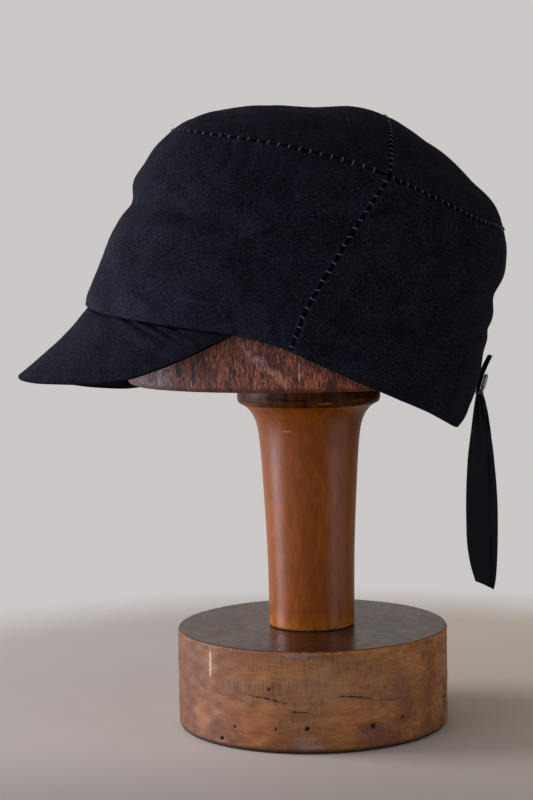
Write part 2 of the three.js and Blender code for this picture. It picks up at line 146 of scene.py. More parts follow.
crown_z = curve(
    (-69, -60, -45, -15, 5, 25, 41, 55, 73, 86, 95, 100.5, 103),
    (314.5, 320, 324.2, 326.1, 324.9, 325.2, 320.4, 312, 299, 286, 276.4, 267.8, 259.8),
)
RING_POWER = 2.2
SEAM_FRONT, SEAM_SIDE, SEAM_BACK, SEAM_HALF_WIDTH = -69.0, 41.5, 103.0, 66.0
WALL_HEIGHT = 95.0
CLOTH = 1.8  # doubled cap cloth
HEM_HALF_WIDTH, HEM_REACH = 84.0, 116.0


def smooth_wall(turn, share):
    """turn runs from the front (0) over the left (0.5) to the back (1), share from hem to top seam."""

    def ring_place(at_share):
        sizes = [ring[name](at_share) for name in ("front", "side", "back", "half_width")]
        return on_oval(turn * np.pi, *sizes, RING_POWER)

    x, y = ring_place(share)
    low, high = hem_z(ring_place(share * 0)[1]), top_seam_z(ring_place(share * 0 + 1)[1])
    return np.stack([x, y, low + (high - low) * share], -1)


def smooth_top(x, y):
    reach = np.where(y < SEAM_SIDE, SEAM_SIDE - SEAM_FRONT, SEAM_BACK - SEAM_SIDE)
    inside = 1 - np.clip(np.abs(SEAM_SIDE - y) / reach, 0, 1) ** RING_POWER
    half_width = np.maximum(SEAM_HALF_WIDTH * inside ** (1 / RING_POWER), 1)
    across = np.minimum(np.abs(x) / half_width, 1)
    z = crown_z(y) + (top_seam_z(y) - crown_z(y)) * across**2
    return np.stack([x, y, z], -1)


print("hem", float(hem_z(-116)), "to", float(hem_z(78)), "mm, top", float(crown_z(-15)), "mm")

# %% [markdown]
# ## Folds
#
# Cloth that has been worn and put back on a block keeps soft folds. Each one follows a short line across
# the side of the cap, sinks in or swells out, and dies away at its two ends. A table of such lines is
# easier to read and change than a sculpted mesh, and it puts each fold where it belongs: the dent over
# the brow, the creases that run back from it, the slack behind the ear and the roll over the nape.

# %% The table of folds
FOLD_FADE, FOLD_MIDDLE = 9.0, 12.0
FOLDS = (  # side, line through (y, z) places, depth (+ swells out, - sinks in), width
    ("both", ((-95, 279), (-60, 272)), -2.4, 6),  # dent over the brow
    ("both", ((-92, 289), (-66, 287)), 1.0, 7),
    ("left", ((-60, 272), (-34, 263)), -1.1, 4),
    ("left", ((-42, 262), (-10, 283)), -1.4, 8),
    ("both", ((14, 205), (40, 228)), -1.6, 9),
    ("right", ((-70, 250), (-20, 268)), -1.8, 9),
    ("both", ((60, 214), (99, 225)), -2.2, 6),
    ("both", ((66, 240), (104, 240)), 0.8, 8),
    ("both", ((-36, 300), (-6, 292)), -0.6, 6),
    ("left", ((-22, 321), (30, 312)), 1.1, 6),
    ("both", ((52, 300), (92, 272)), 1.2, 7),
)
CREASES = (  # the fine ones, which also darken the cloth in their hollows with painted shade and some dirt, and pale it on their ridges as wear
    ("left", ((-67, 273.5), (-51, 270.5), (-39, 270), (-33, 266)), -0.9, 1.6),
    ("left", ((-64, 276), (-50, 273.5), (-38, 273)), 0.5, 2.2),
    ("left", ((-23, 258.5), (-15, 262)), -0.75, 2.0),
    ("left", ((-26, 262), (-14, 266)), 0.5, 2.5),
    ("left", ((-63, 283), (-58, 285)), -0.45, 2.4),
    ("left", ((-47, 304.6), (-46, 303.5)), -0.4, 2.6),
    ("left", ((-36, 296.5), (-29, 303)), -0.4, 2.6),
    ("left", ((31, 268), (38, 270.8), (46, 271.4)), -1.0, 2.2),
    ("left", ((33, 272), (41, 275)), 0.5, 3.0),
    ("left", ((-80, 231), (-77, 229)), -0.6, 3.0),
    ("left", ((-36, 219), (-34.5, 214)), -0.6, 2.0),
    ("left", ((6, 206), (22, 200)), -0.9, 3.5),
    ("left", ((14, 197), (30, 190)), 0.6, 4.0),
    ("left", ((30, 214), (60, 206)), -0.8, 6.0),
    ("left", ((-86, 252), (-60, 246)), -0.5, 5.0),
    ("left", ((-30, 244), (0, 238)), -0.5, 6.0),
    ("left", ((-12, 252), (8, 266)), -0.6, 4.0),
    ("both", ((48, 246), (74, 252)), -0.7, 5.0),
    ("both", ((80, 204), (94, 208)), -1.0, 3.0),
    ("both", ((72, 186), (92, 196)), -0.8, 4.0),
    ("right", ((-62, 276), (-36, 262), (-20, 258)), -1.2, 2.6),
    ("right", ((20, 262), (44, 272)), -1.1, 3.0),
    ("right", ((-4, 232), (26, 214), (40, 198)), -1.0, 4.0),
    ("right", ((-80, 300), (-52, 296)), -0.8, 3.5),
    ("both", ((49, 293), (62, 289), (77, 280), (83, 276)), 0.9, 3.0),
    ("both", ((52, 299), (70, 291), (84, 281)), -0.8, 4.0),
    ("left", ((-28, 322), (-14, 320), (0, 318)), 0.7, 3.0),
    ("right", ((-40, 318), (-10, 322)), -0.9, 5.0),
    ("left", ((-36, 305), (-37, 300), (-39, 296)), -0.45, 1.6),
    ("left", ((-26, 302), (-30, 294)), -0.4, 1.6),
    ("left", ((-8, 279), (-4, 281), (0, 283)), -0.55, 1.8),
    ("left", ((-62, 284), (-54, 276), (-48, 272)), -0.6, 1.6),
    ("left", ((-58, 233), (-42, 229)), -0.5, 1.3),
    ("left", ((-57, 229), (-41, 226)), 0.5, 1.5),
    ("left", ((-16, 219), (-14, 209)), -0.5, 2.0),
    ("left", ((16, 262), (24, 259)), -0.6, 1.8),
    ("left", ((20, 244), (30, 236)), -0.6, 2.2),
    ("left", ((11, 228), (26, 225)), -0.6, 2.0),
    ("left", ((24, 214), (45, 212), (66, 204)), -0.8, 2.4),
    ("left", ((18, 205), (34, 207)), -0.6, 1.8),
    ("left", ((65, 187), (82, 195)), -0.7, 2.0),
    ("left", ((60, 227), (88, 230)), -0.6, 2.2),
    ("left", ((70, 262), (84, 252)), -0.6, 2.0),
    ("right", ((-30, 236), (-10, 228)), -0.8, 2.0),
    ("right", ((50, 232), (84, 226)), -0.8, 2.4),
)


def fold_lift(points, table):
    """How far the folds of a table lift or sink the cloth at each point, in millimetres."""
    x, place = points[..., 0], points[..., 1:]
    lift = np.zeros(x.shape)
    for side, line, depth, width in table:
        line = np.array(line, float)
        far = np.full(x.shape, np.inf)
        for start, end in zip(line[:-1], line[1:]):
            run = end - start
            length = np.hypot(*run)
            along = (place - start) @ run / length
            aside = (place - start) @ np.array([-run[1], run[0]]) / length / width
            past = np.maximum(np.maximum(-along, along - length), 0) / min(FOLD_FADE, 3 * width)
            far = np.minimum(far, aside**2 + past**2)
        near_middle = np.clip(np.abs(x) / FOLD_MIDDLE, 0, 1)
        on_side = {"both": 1, "left": near_middle * (x > 0), "right": near_middle * (x < 0)}[side]
        lift += depth * on_side * np.exp(-far)
    return lift


# %% A slight unevenness everywhere
def uneven(points, size, seed):
    """Soft waves of about one size, from -1 to 1, the same each time for the same seed."""
    random = np.random.default_rng(seed)
    waves = np.zeros(points.shape[:-1])
    count = 14
    for _ in range(count):
        direction = random.normal(size=3)
        direction *= 2 * np.pi / size / np.linalg.norm(direction) * random.uniform(0.6, 1.4)
        waves += np.sin(points @ direction + random.uniform(0, 2 * np.pi))
    return waves / math.sqrt(count)


def square_to(along_a, along_b):
    """Directions of length 1, square to two others."""
    facing = np.cross(along_a, along_b)
    return facing / np.maximum(np.linalg.norm(facing, axis=-1, keepdims=True), 1e-9)


def outward(surface, a, b, step):
    """The direction that a surface faces, from its slope both ways."""
    along_a = surface(a + step, b) - surface(a - step, b)
    return square_to(along_a, surface(a, b + step) - surface(a, b - step))


# %% The cloth's surface, with its folds
WALL_STEP, TOP_STEP = 1e-3, 0.2
HEM_BAND = 10.0  # the hem is turned up this far inside, which swells the cloth a little
BAND_SWELL, BAND_SPREAD = 0.7, 4.5


def creased(points):
    """The table's creases, and small ones that wander over the cloth and come and go."""
    wandering = np.exp(-((uneven(points, 30, 3) / 0.14) ** 2)) * np.clip(uneven(points, 20, 4), 0, 1)
    return fold_lift(points, CREASES) - 0.3 * wandering


def crumpled(points):
    waves = 0.22 * uneven(points, 34, 1) + 0.09 * uneven(points, 11, 2)
    return fold_lift(points, FOLDS) + creased(points) + waves


def wall(turn, share, lift=0.0):
    points = smooth_wall(turn, share)
    inside = np.clip(share, WALL_STEP, 1 - WALL_STEP)
    above_hem = share * WALL_HEIGHT
    band = BAND_SWELL * np.exp(-(((above_hem - HEM_BAND / 2) / BAND_SPREAD) ** 2))
    up = crumpled(points) + band + lift
    return points + outward(smooth_wall, turn, inside, WALL_STEP) * up[..., None]


def top(x, y, lift=0.0):
    points = smooth_top(x, y)
    up = crumpled(points) + lift
    return points + outward(smooth_top, x, y, TOP_STEP) * up[..., None]


print(len(FOLDS), "folds,", len(CREASES), "creases")

# %% [markdown]
# ## Ladder stitches
#
# A ladder stitch joins two folded edges that only just touch. The thread crosses the gap as a short bar,
# runs hidden inside the fold, and crosses again about 5 mm on. Each bar is modelled as a real bit of
# thread: both feet sink into the cloth, and its middle stands over the groove. The bars are set out
# first, because the cloth sinks a little wherever a bar pulls it down.


# %% Helpers for lines in space
def evenly(points, spacing, start=0.0):
    """Places along a line of points, at equal spacing. Gives their positions in the list of points."""
    along = np.concatenate([[0], np.cumsum(np.linalg.norm(np.diff(points, axis=0), axis=1))])
    stops = np.arange(start, along[-1] - start * 0.5, spacing)
    return np.interp(stops, along, np.arange(len(points)))


def nearest(points, targets):
    """Distance from each point to the nearest of the target points."""
    tree = KDTree(len(targets))
    for i, target in enumerate(targets):
        tree.insert(target, i)
    tree.balance()
    flat = points.reshape(-1, 3)
    return np.array([tree.find(p)[2] for p in flat]).reshape(points.shape[:-1])


# %% Set out the seams and their bars
PITCH, BACK_PITCH, CROSS_PITCH = 5.5, 3.9, 4.3  # from one bar to the next
SEAM_HALF, LINING_HALF = 0.4, 0.05  # half the opening of a seam: outer cloth, inner cloth
CROSS_BOW = 2.0  # how far the seam across the top bows back
CROWN_MIDDLE, CROWN_REACH = 20.0, 60.0  # the top's middle along Y, and from there to its side
dice = np.random.default_rng(7)


def set_out(line, places, pitch, start):
    """Of the places that a line was drawn through, those at an even pitch along it."""
    return np.interp(evenly(line, pitch, start), np.arange(len(places)), places)


def beside_seam(distance):
    """How far round the wall, as a share of the half turn, a place beside the slanted seam lies."""
    reach = 105.0  # from the seam to the front or back of the ring, about the same all the way up
    return (distance / reach) ** (RING_POWER / 2) / np.pi


def bar_feet(count, half):
    """Half lengths to both sides of the seam, a little different for each bar."""
    return half * dice.uniform(0.85, 1.15, count), half * dice.uniform(0.85, 1.15, count)


def slanted_bars(side):
    share = np.linspace(0.012, 0.985, 400)
    line = wall(share * 0 + side * 0.5, share)
    share = set_out(line, share, PITCH * 0.92, 2.0)
    near, far = bar_feet(len(share), 1.15)
    slip = dice.uniform(-0.35, 0.35, len(share)) / WALL_HEIGHT
    before = wall(side * (0.5 - beside_seam(near)), share + slip)
    after = wall(side * (0.5 + beside_seam(far)), share - slip)
    return before, wall(share * 0 + side * 0.5, share), after


def top_bars(from_turn, to_turn, pitch, half):
    turn = np.linspace(from_turn, to_turn, 900)
    line = smooth_wall(turn, turn * 0 + 1)
    turn = set_out(line, turn, pitch, pitch / 2)
    near, far = bar_feet(len(turn), half(np.abs(turn)))
    below = wall(turn, 1 - near / WALL_HEIGHT)
    seam = smooth_wall(turn, turn * 0 + 1)
    inward = 1 - far / CROWN_REACH
    x, y = seam[:, 0] * inward, (seam[:, 1] - CROWN_MIDDLE) * inward + CROWN_MIDDLE
    return below, wall(turn, turn * 0 + 1), top(x, y)


def cross_seam_y(aside):
    """The seam across the top bows back between its middle and its two ends."""
    return SEAM_SIDE + CROSS_BOW * 4 * np.abs(aside) * (1 - np.abs(aside))


def cross_bars():
    aside = np.linspace(-0.965, 0.965, 500)
    line = top(aside * SEAM_HALF_WIDTH, cross_seam_y(aside))
    aside = set_out(line, aside, CROSS_PITCH, 1.0)
    near, far = bar_feet(len(aside), 0.85)
    x, y = aside * SEAM_HALF_WIDTH, cross_seam_y(aside)
    return top(x, y - near), top(x, y), top(x, y + far)


BARS = {
    "stitches_slanted_left": slanted_bars(1),
    "stitches_slanted_right": slanted_bars(-1),
    "stitches_top_front": top_bars(-0.497, 0.497, PITCH, lambda turn: 0.38 + 3.2 * turn**2),
    "stitches_top_back": top_bars(0.501, 1.499, BACK_PITCH, lambda turn: 0.34 + 0.4 * np.abs(turn - 1)),
    "stitches_across_top": cross_bars(),
}
stitch_feet = np.concatenate([np.concatenate([bar[0], bar[2]]) for bar in BARS.values()])
fine = np.linspace(0, 1, 1200)
seam_places = np.concatenate(
    [wall(fine * 0 + 0.5, fine), wall(fine * 0 - 0.5, fine), wall(2 * fine - 1, fine * 0 + 1)]
    + [top((2 * fine - 1) * SEAM_HALF_WIDTH, cross_seam_y(2 * fine - 1))]
)
print({name: len(bar[0]) for name, bar in BARS.items()}, "bars")

# %% [markdown]
# ## Sewn cloth as a closed skin
#
# Each panel is an outer face, an inner face 1.8 mm behind it, and an edge that rolls in where the cloth
# is folded under. The rows and columns of the two faces crowd towards the edges, where the roll needs
# them. The threads of the weave follow the rows and columns, so each panel also gets a flat layout in
# metres, measured along the cloth. A pattern drawn in that layout has its real size everywhere.


# %% From grids to a mesh
def packed(count, pack=0.88):
    """Places from 0 to 1 that crowd towards both ends."""
    s = np.linspace(0, 1, count)
    return s - pack * np.sin(2 * np.pi * s) / (2 * np.pi)


def grid_faces(rows, columns):
    i, j = np.meshgrid(np.arange(rows - 1), np.arange(columns - 1), indexing="ij")
    a = (i * columns + j).reshape(-1, 1)
    return a + np.array([0, 1, columns + 1, columns])


def ring_faces(rows, columns):
    """Faces of rings of points, one above the other, with the first and the last ring closed over."""
    i, j = np.meshgrid(np.arange(rows - 1), np.arange(columns), indexing="ij")
    here, on = i * columns + j, i * columns + (j + 1) % columns
    body = np.stack([here, on, on + columns, here + columns], -1).reshape(-1, 4).tolist()
    first = list(range(columns))[::-1]
    return body + [first, [(rows - 1) * columns + k for k in range(columns)]]


def volume(points, faces):
    a, b, c, d = (points[faces[:, k]] for k in range(4))
    cross = np.cross(b, c) + np.cross(c, d)
    return np.einsum("ij,ij->", a, cross) / 6


def shell_faces(outer, inner):
    """One closed skin from two grids and a strip round their edge."""
    rows, columns = outer.shape[:2]
    number = np.arange(rows * columns).reshape(rows, columns)
    border = np.concatenate([number[0, :-1], number[:-1, -1], number[-1, :0:-1], number[:0:-1, 0]])
    following, behind = np.roll(border, -1), rows * columns
    strip = np.stack([following, border, border + behind, following + behind], -1)
    face = grid_faces(rows, columns)
    points = np.concatenate([outer.reshape(-1, 3), inner.reshape(-1, 3)])
    faces = np.concatenate([face, face[:, ::-1] + behind, strip])
    return points, faces if volume(points, faces) > 0 else faces[:, ::-1]


def make_piece(name, points, faces, material, slot, layout=None):
    """A smooth mesh that rides on the root body. layout is the flat place of each point, in metres."""
    mesh = bpy.data.meshes.new(name)
    mesh.from_pydata((points * MM).tolist(), [], [list(face) for face in faces])
    mesh.shade_smooth()
    mesh.materials.append(material)
    if layout is not None:
        corner = np.empty(len(mesh.loops), dtype=np.int32)
        mesh.loops.foreach_get("vertex_index", corner)
        mesh.uv_layers.new(name="threads").data.foreach_set("uv", layout[corner].ravel())
    piece = bpy.data.objects.new(name, mesh)
    bpy.context.scene.collection.objects.link(piece)
    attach(piece, "root")
    print(f"{name}: {len(mesh.vertices)} points, {len(mesh.polygons)} faces")
    return piece


def make_shell(name, outer, inner, material, slot, layout_of=None):
    """A piece with two faces. Its threads follow its outer face, or another grid given for it."""
    points, faces = shell_faces(outer, inner)
    layout = flat_layout(outer if layout_of is None else layout_of)
    return make_piece(name, points, faces, material, slot, layout)


def flat_layout(grid):
    """Distances along the columns and rows of a grid from its middle, in metres, for both faces."""
    steps_u = np.linalg.norm(np.diff(grid, axis=1), axis=2)
    steps_v = np.linalg.norm(np.diff(grid, axis=0), axis=2)
    u = np.pad(np.cumsum(steps_u, axis=1), ((0, 0), (1, 0)))
    v = np.pad(np.cumsum(steps_v, axis=0), ((1, 0), (0, 0)))
    u -= u[:, u.shape[1] // 2][:, None]
    one = np.stack([u, v], -1).reshape(-1, 2) * MM
    return np.concatenate([one, one])


# %% Roll the edges in and pull the stitches down
def border_line(grid, step=0.12):
    """The outline of a grid, with places close together."""
    loop = np.concatenate([grid[0], grid[1:, -1], grid[-1, -2::-1], grid[-2:0:-1, 0], grid[:1, 0]])
    at = evenly(loop, step)
    whole = np.arange(len(loop))
    return np.stack([np.interp(at, whole, loop[:, k]) for k in range(3)], -1)


ROLL = 0.97  # short of the full roll, so that the two faces never meet at the edge
PEAK_COVER = 0.35  # the peak's upper face lies this far inside its surface


def roll_in(distance, radius):
    """How far a rounded edge has dropped at a distance from it."""
    inside = np.clip(radius - distance, 0, radius)
    return radius - np.sqrt(np.maximum(radius**2 - inside**2, 0))


def sewn_shell(surface, outer, inner, above_hem=None):
    """The two faces of a panel, from the places of its outer and of its inner cloth on a surface."""
    flat = surface(*outer)
    edge = roll_in(nearest(flat, border_line(flat)), CLOTH / 2) * ROLL
    turned_up = 0 if above_hem is None else roll_in(above_hem, CLOTH / 2) * ROLL
    to_stitch = nearest(flat, stitch_feet)
    tug = -0.28 * np.exp(-((to_stitch / 1.2) ** 2)) - 0.2 * np.exp(-((to_stitch / 4) ** 2))
    return surface(*outer, tug - edge), surface(*inner, turned_up - CLOTH)


def cloth_wear_and_shade(points, above_hem=None):
    """How the cloth is toned, for both its faces: 1 pale, -1 black. Painted shade makes it black in the
    depth of a seam and on the whole inner face, and darker in the hollows of creases, where some dirt
    also sits. It is paler beside each seam and near the hem, and rubbed paler on the ridges of creases.
    """
    to_seam = nearest(points, seam_places)
    groove = np.where(points[..., 1] > SEAM_SIDE, 1.25, 1.0)
    # Painted shade: black in the depth of each seam, wider on the back panels; a paler band runs beside
    # it.
    wear_and_shade = 0.35 * np.exp(-(((to_seam - 1.9) / 0.5) ** 2)) - np.exp(-((to_seam / groove) ** 4))
    # Creases: painted shade and some dirt in their hollows, rubbed wear on their ridges.
    wear_and_shade += np.clip(0.5 * creased(points), -0.43, 0.3)
    if above_hem is not None:
        # Paler near the hem, most towards the front.
        paling = 0.65 + 0.4 * uneven(points, 30, 21)
        towards_peak = np.clip((14 - points[..., 1]) / 30, 0.2, 1)
        wear_and_shade += 0.62 * np.exp(-((above_hem / 42) ** 2)) * np.clip(paling, 0, 1) * towards_peak
    # The inner face is painted black all over: painted shade inside the cap.
    return np.concatenate([wear_and_shade.ravel(), wear_and_shade.ravel() * 0 - 1])


def mark(piece, name, values):
    """Keeps a number for each point of a mesh, which its material can read."""
    numbers = piece.data.attributes.new(name, "FLOAT", "POINT")
    numbers.data.foreach_set("value", np.asarray(values).ravel().astype(np.float32))


print("a panel's edge rolls in over", CLOTH / 2, "mm")

# %% [markdown]
# ## Colours and nodes
#
# Colours are picked as sRGB hex values, as a paint chart gives them, while a shader works with linear
# light, so one function turns the one into the other. A second function adds a node with its settings and
# whatever feeds its sockets, always to the material that was started last. Everything else about a
# material is then a list of what it is made of.


# %% Helpers for materials
def linear(hex_colour):
    """The linear RGBA of an sRGB hex value such as #804020."""
    channels = [int(hex_colour[i : i + 2], 16) / 255 for i in (1, 3, 5)]
    return (*[c / 12.92 if c <= 0.04045 else ((c + 0.055) / 1.055) ** 2.4 for c in channels], 1.0)


def start(finish):
    """Clears a material or a world. The helpers below add their nodes to the one started last."""
    global at_work
    at_work = finish
    finish.use_nodes = True
    finish.node_tree.nodes.clear()
    return finish


def start_material(name):
    return start(bpy.data.materials.new(name))


def add(kind, sockets=None, **settings):
    """Adds a node. Each socket is given a value, or the output of another node to link it to."""
    node = at_work.node_tree.nodes.new("ShaderNode" + kind)
    for name, value in settings.items():
        setattr(node, name, value)
    for name, value in (sockets or {}).items():
        if isinstance(value, bpy.types.Node):
            value = next(socket for socket in value.outputs if socket.enabled)
        if isinstance(value, bpy.types.NodeSocket):
            at_work.node_tree.links.new(value, node.inputs[name])
        else:
            node.inputs[name].default_value = value
    return node


def finish_material(**values):
    """The shader and the output. values are the shader's sockets, spaces written as underscores."""
    shader = add("BsdfPrincipled", {name.replace("_", " "): value for name, value in values.items()})
    add("OutputMaterial", {"Surface": shader})
    print("material:", at_work.name, "-", len(at_work.node_tree.nodes), "nodes")
    return at_work


def blend(factor, low, high):
    """A mix of two colours, each a hex value or what another node gives."""
    low, high = (linear(colour) if isinstance(colour, str) else colour for colour in (low, high))
    return add("Mix", {0: factor, 6: low, 7: high}, data_type="RGBA").outputs[2]


def worked(operation, a, b=0.0):
    """What a Math node makes of one or two values."""
    return add("Math", {0: a, 1: b}, operation=operation).outputs[0]


def times(a, b):
    return worked("MULTIPLY", a, b)


def plus(a, b):
    return worked("ADD", a, b)


def span(value, low, high, to_low=0.0, to_high=1.0, smooth=True):
    """Takes the part of a value between two limits and spreads it over a new range."""
    kind = "SMOOTHSTEP" if smooth else "LINEAR"
    sockets = {0: value, 1: low, 2: high, 3: to_low, 4: to_high}
    return add("MapRange", sockets, interpolation_type=kind).outputs[0]


def cloud(place, size, detail=2.0, stretch=(1, 1, 1), roughness=0.5):
    """Noise with lumps of a size in millimetres, longer where stretch is over 1."""
    scaled = add("Mapping", {"Vector": place, "Scale": [1 / s for s in stretch]})
    lumps = {"Vector": scaled, "Scale": 1 / (size * MM), "Detail": detail, "Roughness": roughness}
    return add("TexNoise", lumps).outputs["Fac"]


def own_place():
    """Each point's place in the object's own frame, in metres."""
    return add("TexCoord").outputs["Object"]


def parts(vector):
    return add("SeparateXYZ", {0: vector}).outputs


def bumps(height, strength, depth):
    """The surface's direction once a height has roughened it. depth is in millimetres."""
    return add("Bump", {"Strength": strength, "Distance": depth * MM, "Height": height}).outputs[0]


# %% [markdown]
# ## The cap's cloth
#
# It is a washed cotton and linen cloth, woven in fine ribs and dyed nearly black, with a blue cast where
# the light grazes it. Three things show: the threads, the cloudy wear of washing, and a soft bloom of
# loose fibres near the outline, which the shader's sheen gives. Real threads are about 0.4 mm apart. They
# are drawn 1.2 mm apart, since finer ones would be lost in the render.

# %% The cloth's threads and colour
THREAD_SPACING = 1.2  # mm


def waves_across(along, spacing):
    """A ridge every so many millimetres along a coordinate in metres, from 0 to 1."""
    ridge = worked("SINE", times(along, 2 * math.pi / (spacing * MM)))
    return span(ridge, -1.0, 1.0, smooth=False)


def woven_cloth(name, shade, mid, light, spacing, sheen):
    start_material(name)
    layout = add("UVMap", uv_map="threads").outputs[0]
    place = own_place()
    across = parts(layout)
    warp = waves_across(across[0], spacing)
    weft = waves_across(across[1], spacing * 0.9)
    slub_up = cloud(layout, spacing * 0.7, stretch=(1, 2.5, 1))
    slub_over = cloud(layout, spacing * 0.7, stretch=(2.5, 1, 1))
    grain = cloud(place, spacing * 0.6, detail=3.0, roughness=0.8)
    threads = plus(times(warp, 0.36), times(weft, 0.18))
    slubs = plus(slub_up, slub_over)
    height = plus(plus(threads, slubs), times(grain, 1.6))
    washed = cloud(place, 12, detail=5.0, roughness=0.7)
    colour = blend(span(washed, 0.4, 0.6), shade, mid)
    raised = span(height, 1.8, 2.7, 0.0, 0.68)
    raised = times(raised, span(washed, 0.38, 0.6, 0.8, 1.0))
    colour = blend(raised, colour, light)
    # The number read here pales the cloth where it is above zero and paints it nearly black where it is
    # below: painted shade in the seams, on the peak, inside the cap and in the creases, where some dirt
    # sits too.
    wear_and_shade = add("Attribute", attribute_name="wear_and_shade").outputs["Fac"]
    paling = times(span(wear_and_shade, 0.05, 1.0, 0.0, 0.8), span(grain, 0.3, 0.7))
    colour = blend(paling, colour, light)
    specks = add("TexVoronoi", {"Vector": place, "Scale": 1 / (34 * MM)})
    lint = span(specks.outputs["Distance"], 0.008, 0.016, 0.5, 0.0)
    colour = blend(lint, colour, "#a8a9b4")
    # Painted shade: nearly black where the number is low.
    painted_shade_and_dirt = span(wear_and_shade, -0.75, -0.2, 1.0, 0.0)
    colour = blend(painted_shade_and_dirt, colour, "#020203")
    return finish_material(
        Base_Color=colour,
        Normal=bumps(height, 0.6, 0.2),
        Roughness=0.85,
        IOR=1.45,
        Specular_IOR_Level=0.045,
        Sheen_Weight=sheen,
        Sheen_Roughness=0.45,
        Sheen_Tint=linear("#b9b6e0"),
    )


CLOTH_SHADES = ("#060608", "#0e0e13", "#353544")  # in the hollows, in the middle, on worn threads
CLOTH_SHEEN = 0.008
cap_cloth = woven_cloth("washed_cotton_linen_woven", *CLOTH_SHADES, THREAD_SPACING, CLOTH_SHEEN)

# %% The waxed sewing thread
thread_wax = start_material("linen_thread_twisted_waxed")
twist = cloud(own_place(), 0.7)
thread_colour = blend(span(twist, 0.35, 0.65), "#2c2d39", "#55566a")
finish_material(Base_Color=thread_colour, Roughness=0.38, IOR=1.5, Sheen_Weight=0.2)

# %% [markdown]
# ## The four panels
#
# The wall is two panels that meet at a slanted seam on each side, and the top is two panels that meet
# across the crown. All four come from the surfaces above. Their grids are fine enough to carry the folds,
# and no modifier is needed.

# %% The wall's two panels
WALL_COLUMNS, WALL_ROWS = 330, 118


def wall_panel(name, node, from_turn, to_turn):
    grids = []
    for half, top_half in ((SEAM_HALF, SEAM_HALF), (LINING_HALF, 0.3)):
        gap = beside_seam(half)
        turn = from_turn + gap + (to_turn - from_turn - 2 * gap) * packed(WALL_COLUMNS)
        grids.append(np.meshgrid(turn, packed(WALL_ROWS) * (1 - top_half / WALL_HEIGHT)))
    above_hem = grids[0][1] * WALL_HEIGHT
    outer, inner = sewn_shell(wall, *grids, above_hem)
    piece = make_shell(name, outer, inner, cap_cloth, "cap_cloth")
    mark(piece, "wear_and_shade", cloth_wear_and_shade(outer, above_hem))
    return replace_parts(piece, node)


wall_panel("cloth_wall_front", "side_front", -0.5, 0.5)
wall_panel("cloth_wall_back", "side_back", 0.5, 1.5)

# %% The top's two panels
TOP_COLUMNS, TOP_ROWS = 210, 150


def top_grid(in_front, half):
    rows = packed(TOP_ROWS, 0.7)
    angle = np.pi * (0.0075 + 0.4925 * rows if in_front else 0.5 + 0.4925 * rows)
    front, back = SEAM_FRONT + half, SEAM_BACK - half
    half_x, seam_y = on_oval(angle, front, SEAM_SIDE, back, SEAM_HALF_WIDTH - half, RING_POWER)
    aside = 2 * packed(TOP_COLUMNS, 0.8) - 1
    to_cross_seam = rows if in_front else 1 - rows
    bow = cross_seam_y(aside) - SEAM_SIDE + (-half if in_front else half)
    x = half_x[:, None] * aside[None, :]
    return x, seam_y[:, None] + to_cross_seam[:, None] * bow[None, :]


def top_panel(name, node, in_front):
    outer, inner = sewn_shell(top, top_grid(in_front, SEAM_HALF), top_grid(in_front, LINING_HALF))
    piece = make_shell(name, outer, inner, cap_cloth, "cap_cloth")
    mark(piece, "wear_and_shade", cloth_wear_and_shade(outer))
    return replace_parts(piece, node)


top_panel("cloth_top_front", "crown_top_front", True)
top_panel("cloth_top_back", "crown_top_back", False)

# %% [markdown]
# ## The peak
#
# The peak is a thin soft pad covered with the same cloth. It is sewn under the hem over the brow, sags a
# little in its middle, swells at its sides, and hangs lower on the right than on the left. The cloth is
# eased into the seam, so a few small puckers fan out below it near the two ends.

# %% The peak's surface
PEAK_TABLE_Y = (-153.5, -148, -133, -116, -98, -80, -54, -38)
peak_left_z = curve(PEAK_TABLE_Y, (187.8, 187, 187.3, 187.4, 188.7, 193.4, 203.6, 212.0))
peak_right_z = curve(PEAK_TABLE_Y, (187.8, 183.7, 179, 175.4, 174.2, 178.3, 197, 211.8))
PEAK_END, PEAK_HALF_WIDTH = 0.424, 83.5
PEAK_THICKNESS, PEAK_EDGE, PEAK_TIP = 3.2, 1.7, 0.8
PEAK_SAG, PEAK_SWELL = 1.6, 2.6
PEAK_SET_IN, PEAK_ROOT_UP = 1.7, 1.2  # the peak is sewn behind the hem, which hides its root
PUCKERS = (  # side, line through (y, z) places, depth, width
    ("left", ((-108, 222), (-101, 218.8)), -0.5, 1.6),
    ("left", ((-90, 218.5), (-82, 214.4), (-70, 208.6)), -1.2, 1.0),
    ("left", ((-82, 218.5), (-76, 215.8), (-65, 209.8)), -1.0, 0.8),
    ("left", ((-86, 218.2), (-73, 211.4)), 0.6, 1.2),
    ("left", ((-66, 215.0), (-54, 209.4)), -0.8, 0.8),
    ("left", ((-90, 213.6), (-74, 206.4)), 0.5, 2.4),
    ("left", ((-84, 206.5), (-74, 202.5)), -0.4, 2.4),
    ("both", ((-98, 217), (-91, 213)), -0.7, 3.0),
    ("right", ((-78, 217), (-68, 210)), -0.8, 1.6),
    ("right", ((-66, 214), (-56, 208)), -0.7, 1.5),
    ("left", ((-112, 206), (-94, 198)), 0.5, 6.0),
    ("left", ((-122, 214), (-104, 206)), -0.4, 4.0),
)


def smooth_peak(side, out):
    root = smooth_wall(side * PEAK_END, side * 0 + PEAK_ROOT_UP / WALL_HEIGHT)
    root = root * [1 - PEAK_SET_IN / HEM_HALF_WIDTH, 1 - PEAK_SET_IN / HEM_REACH, 1]
    angle = side * np.pi / 2
    x, y = on_oval(angle, PEAK_TABLE_Y[0], PEAK_TABLE_Y[-1], PEAK_TABLE_Y[-1], PEAK_HALF_WIDTH, 2)
    z = np.where(side > 0, peak_left_z(y), peak_right_z(y))
    rim = np.stack([x, y, z], -1)
    return root + (rim - root) * np.asarray(out)[..., None]


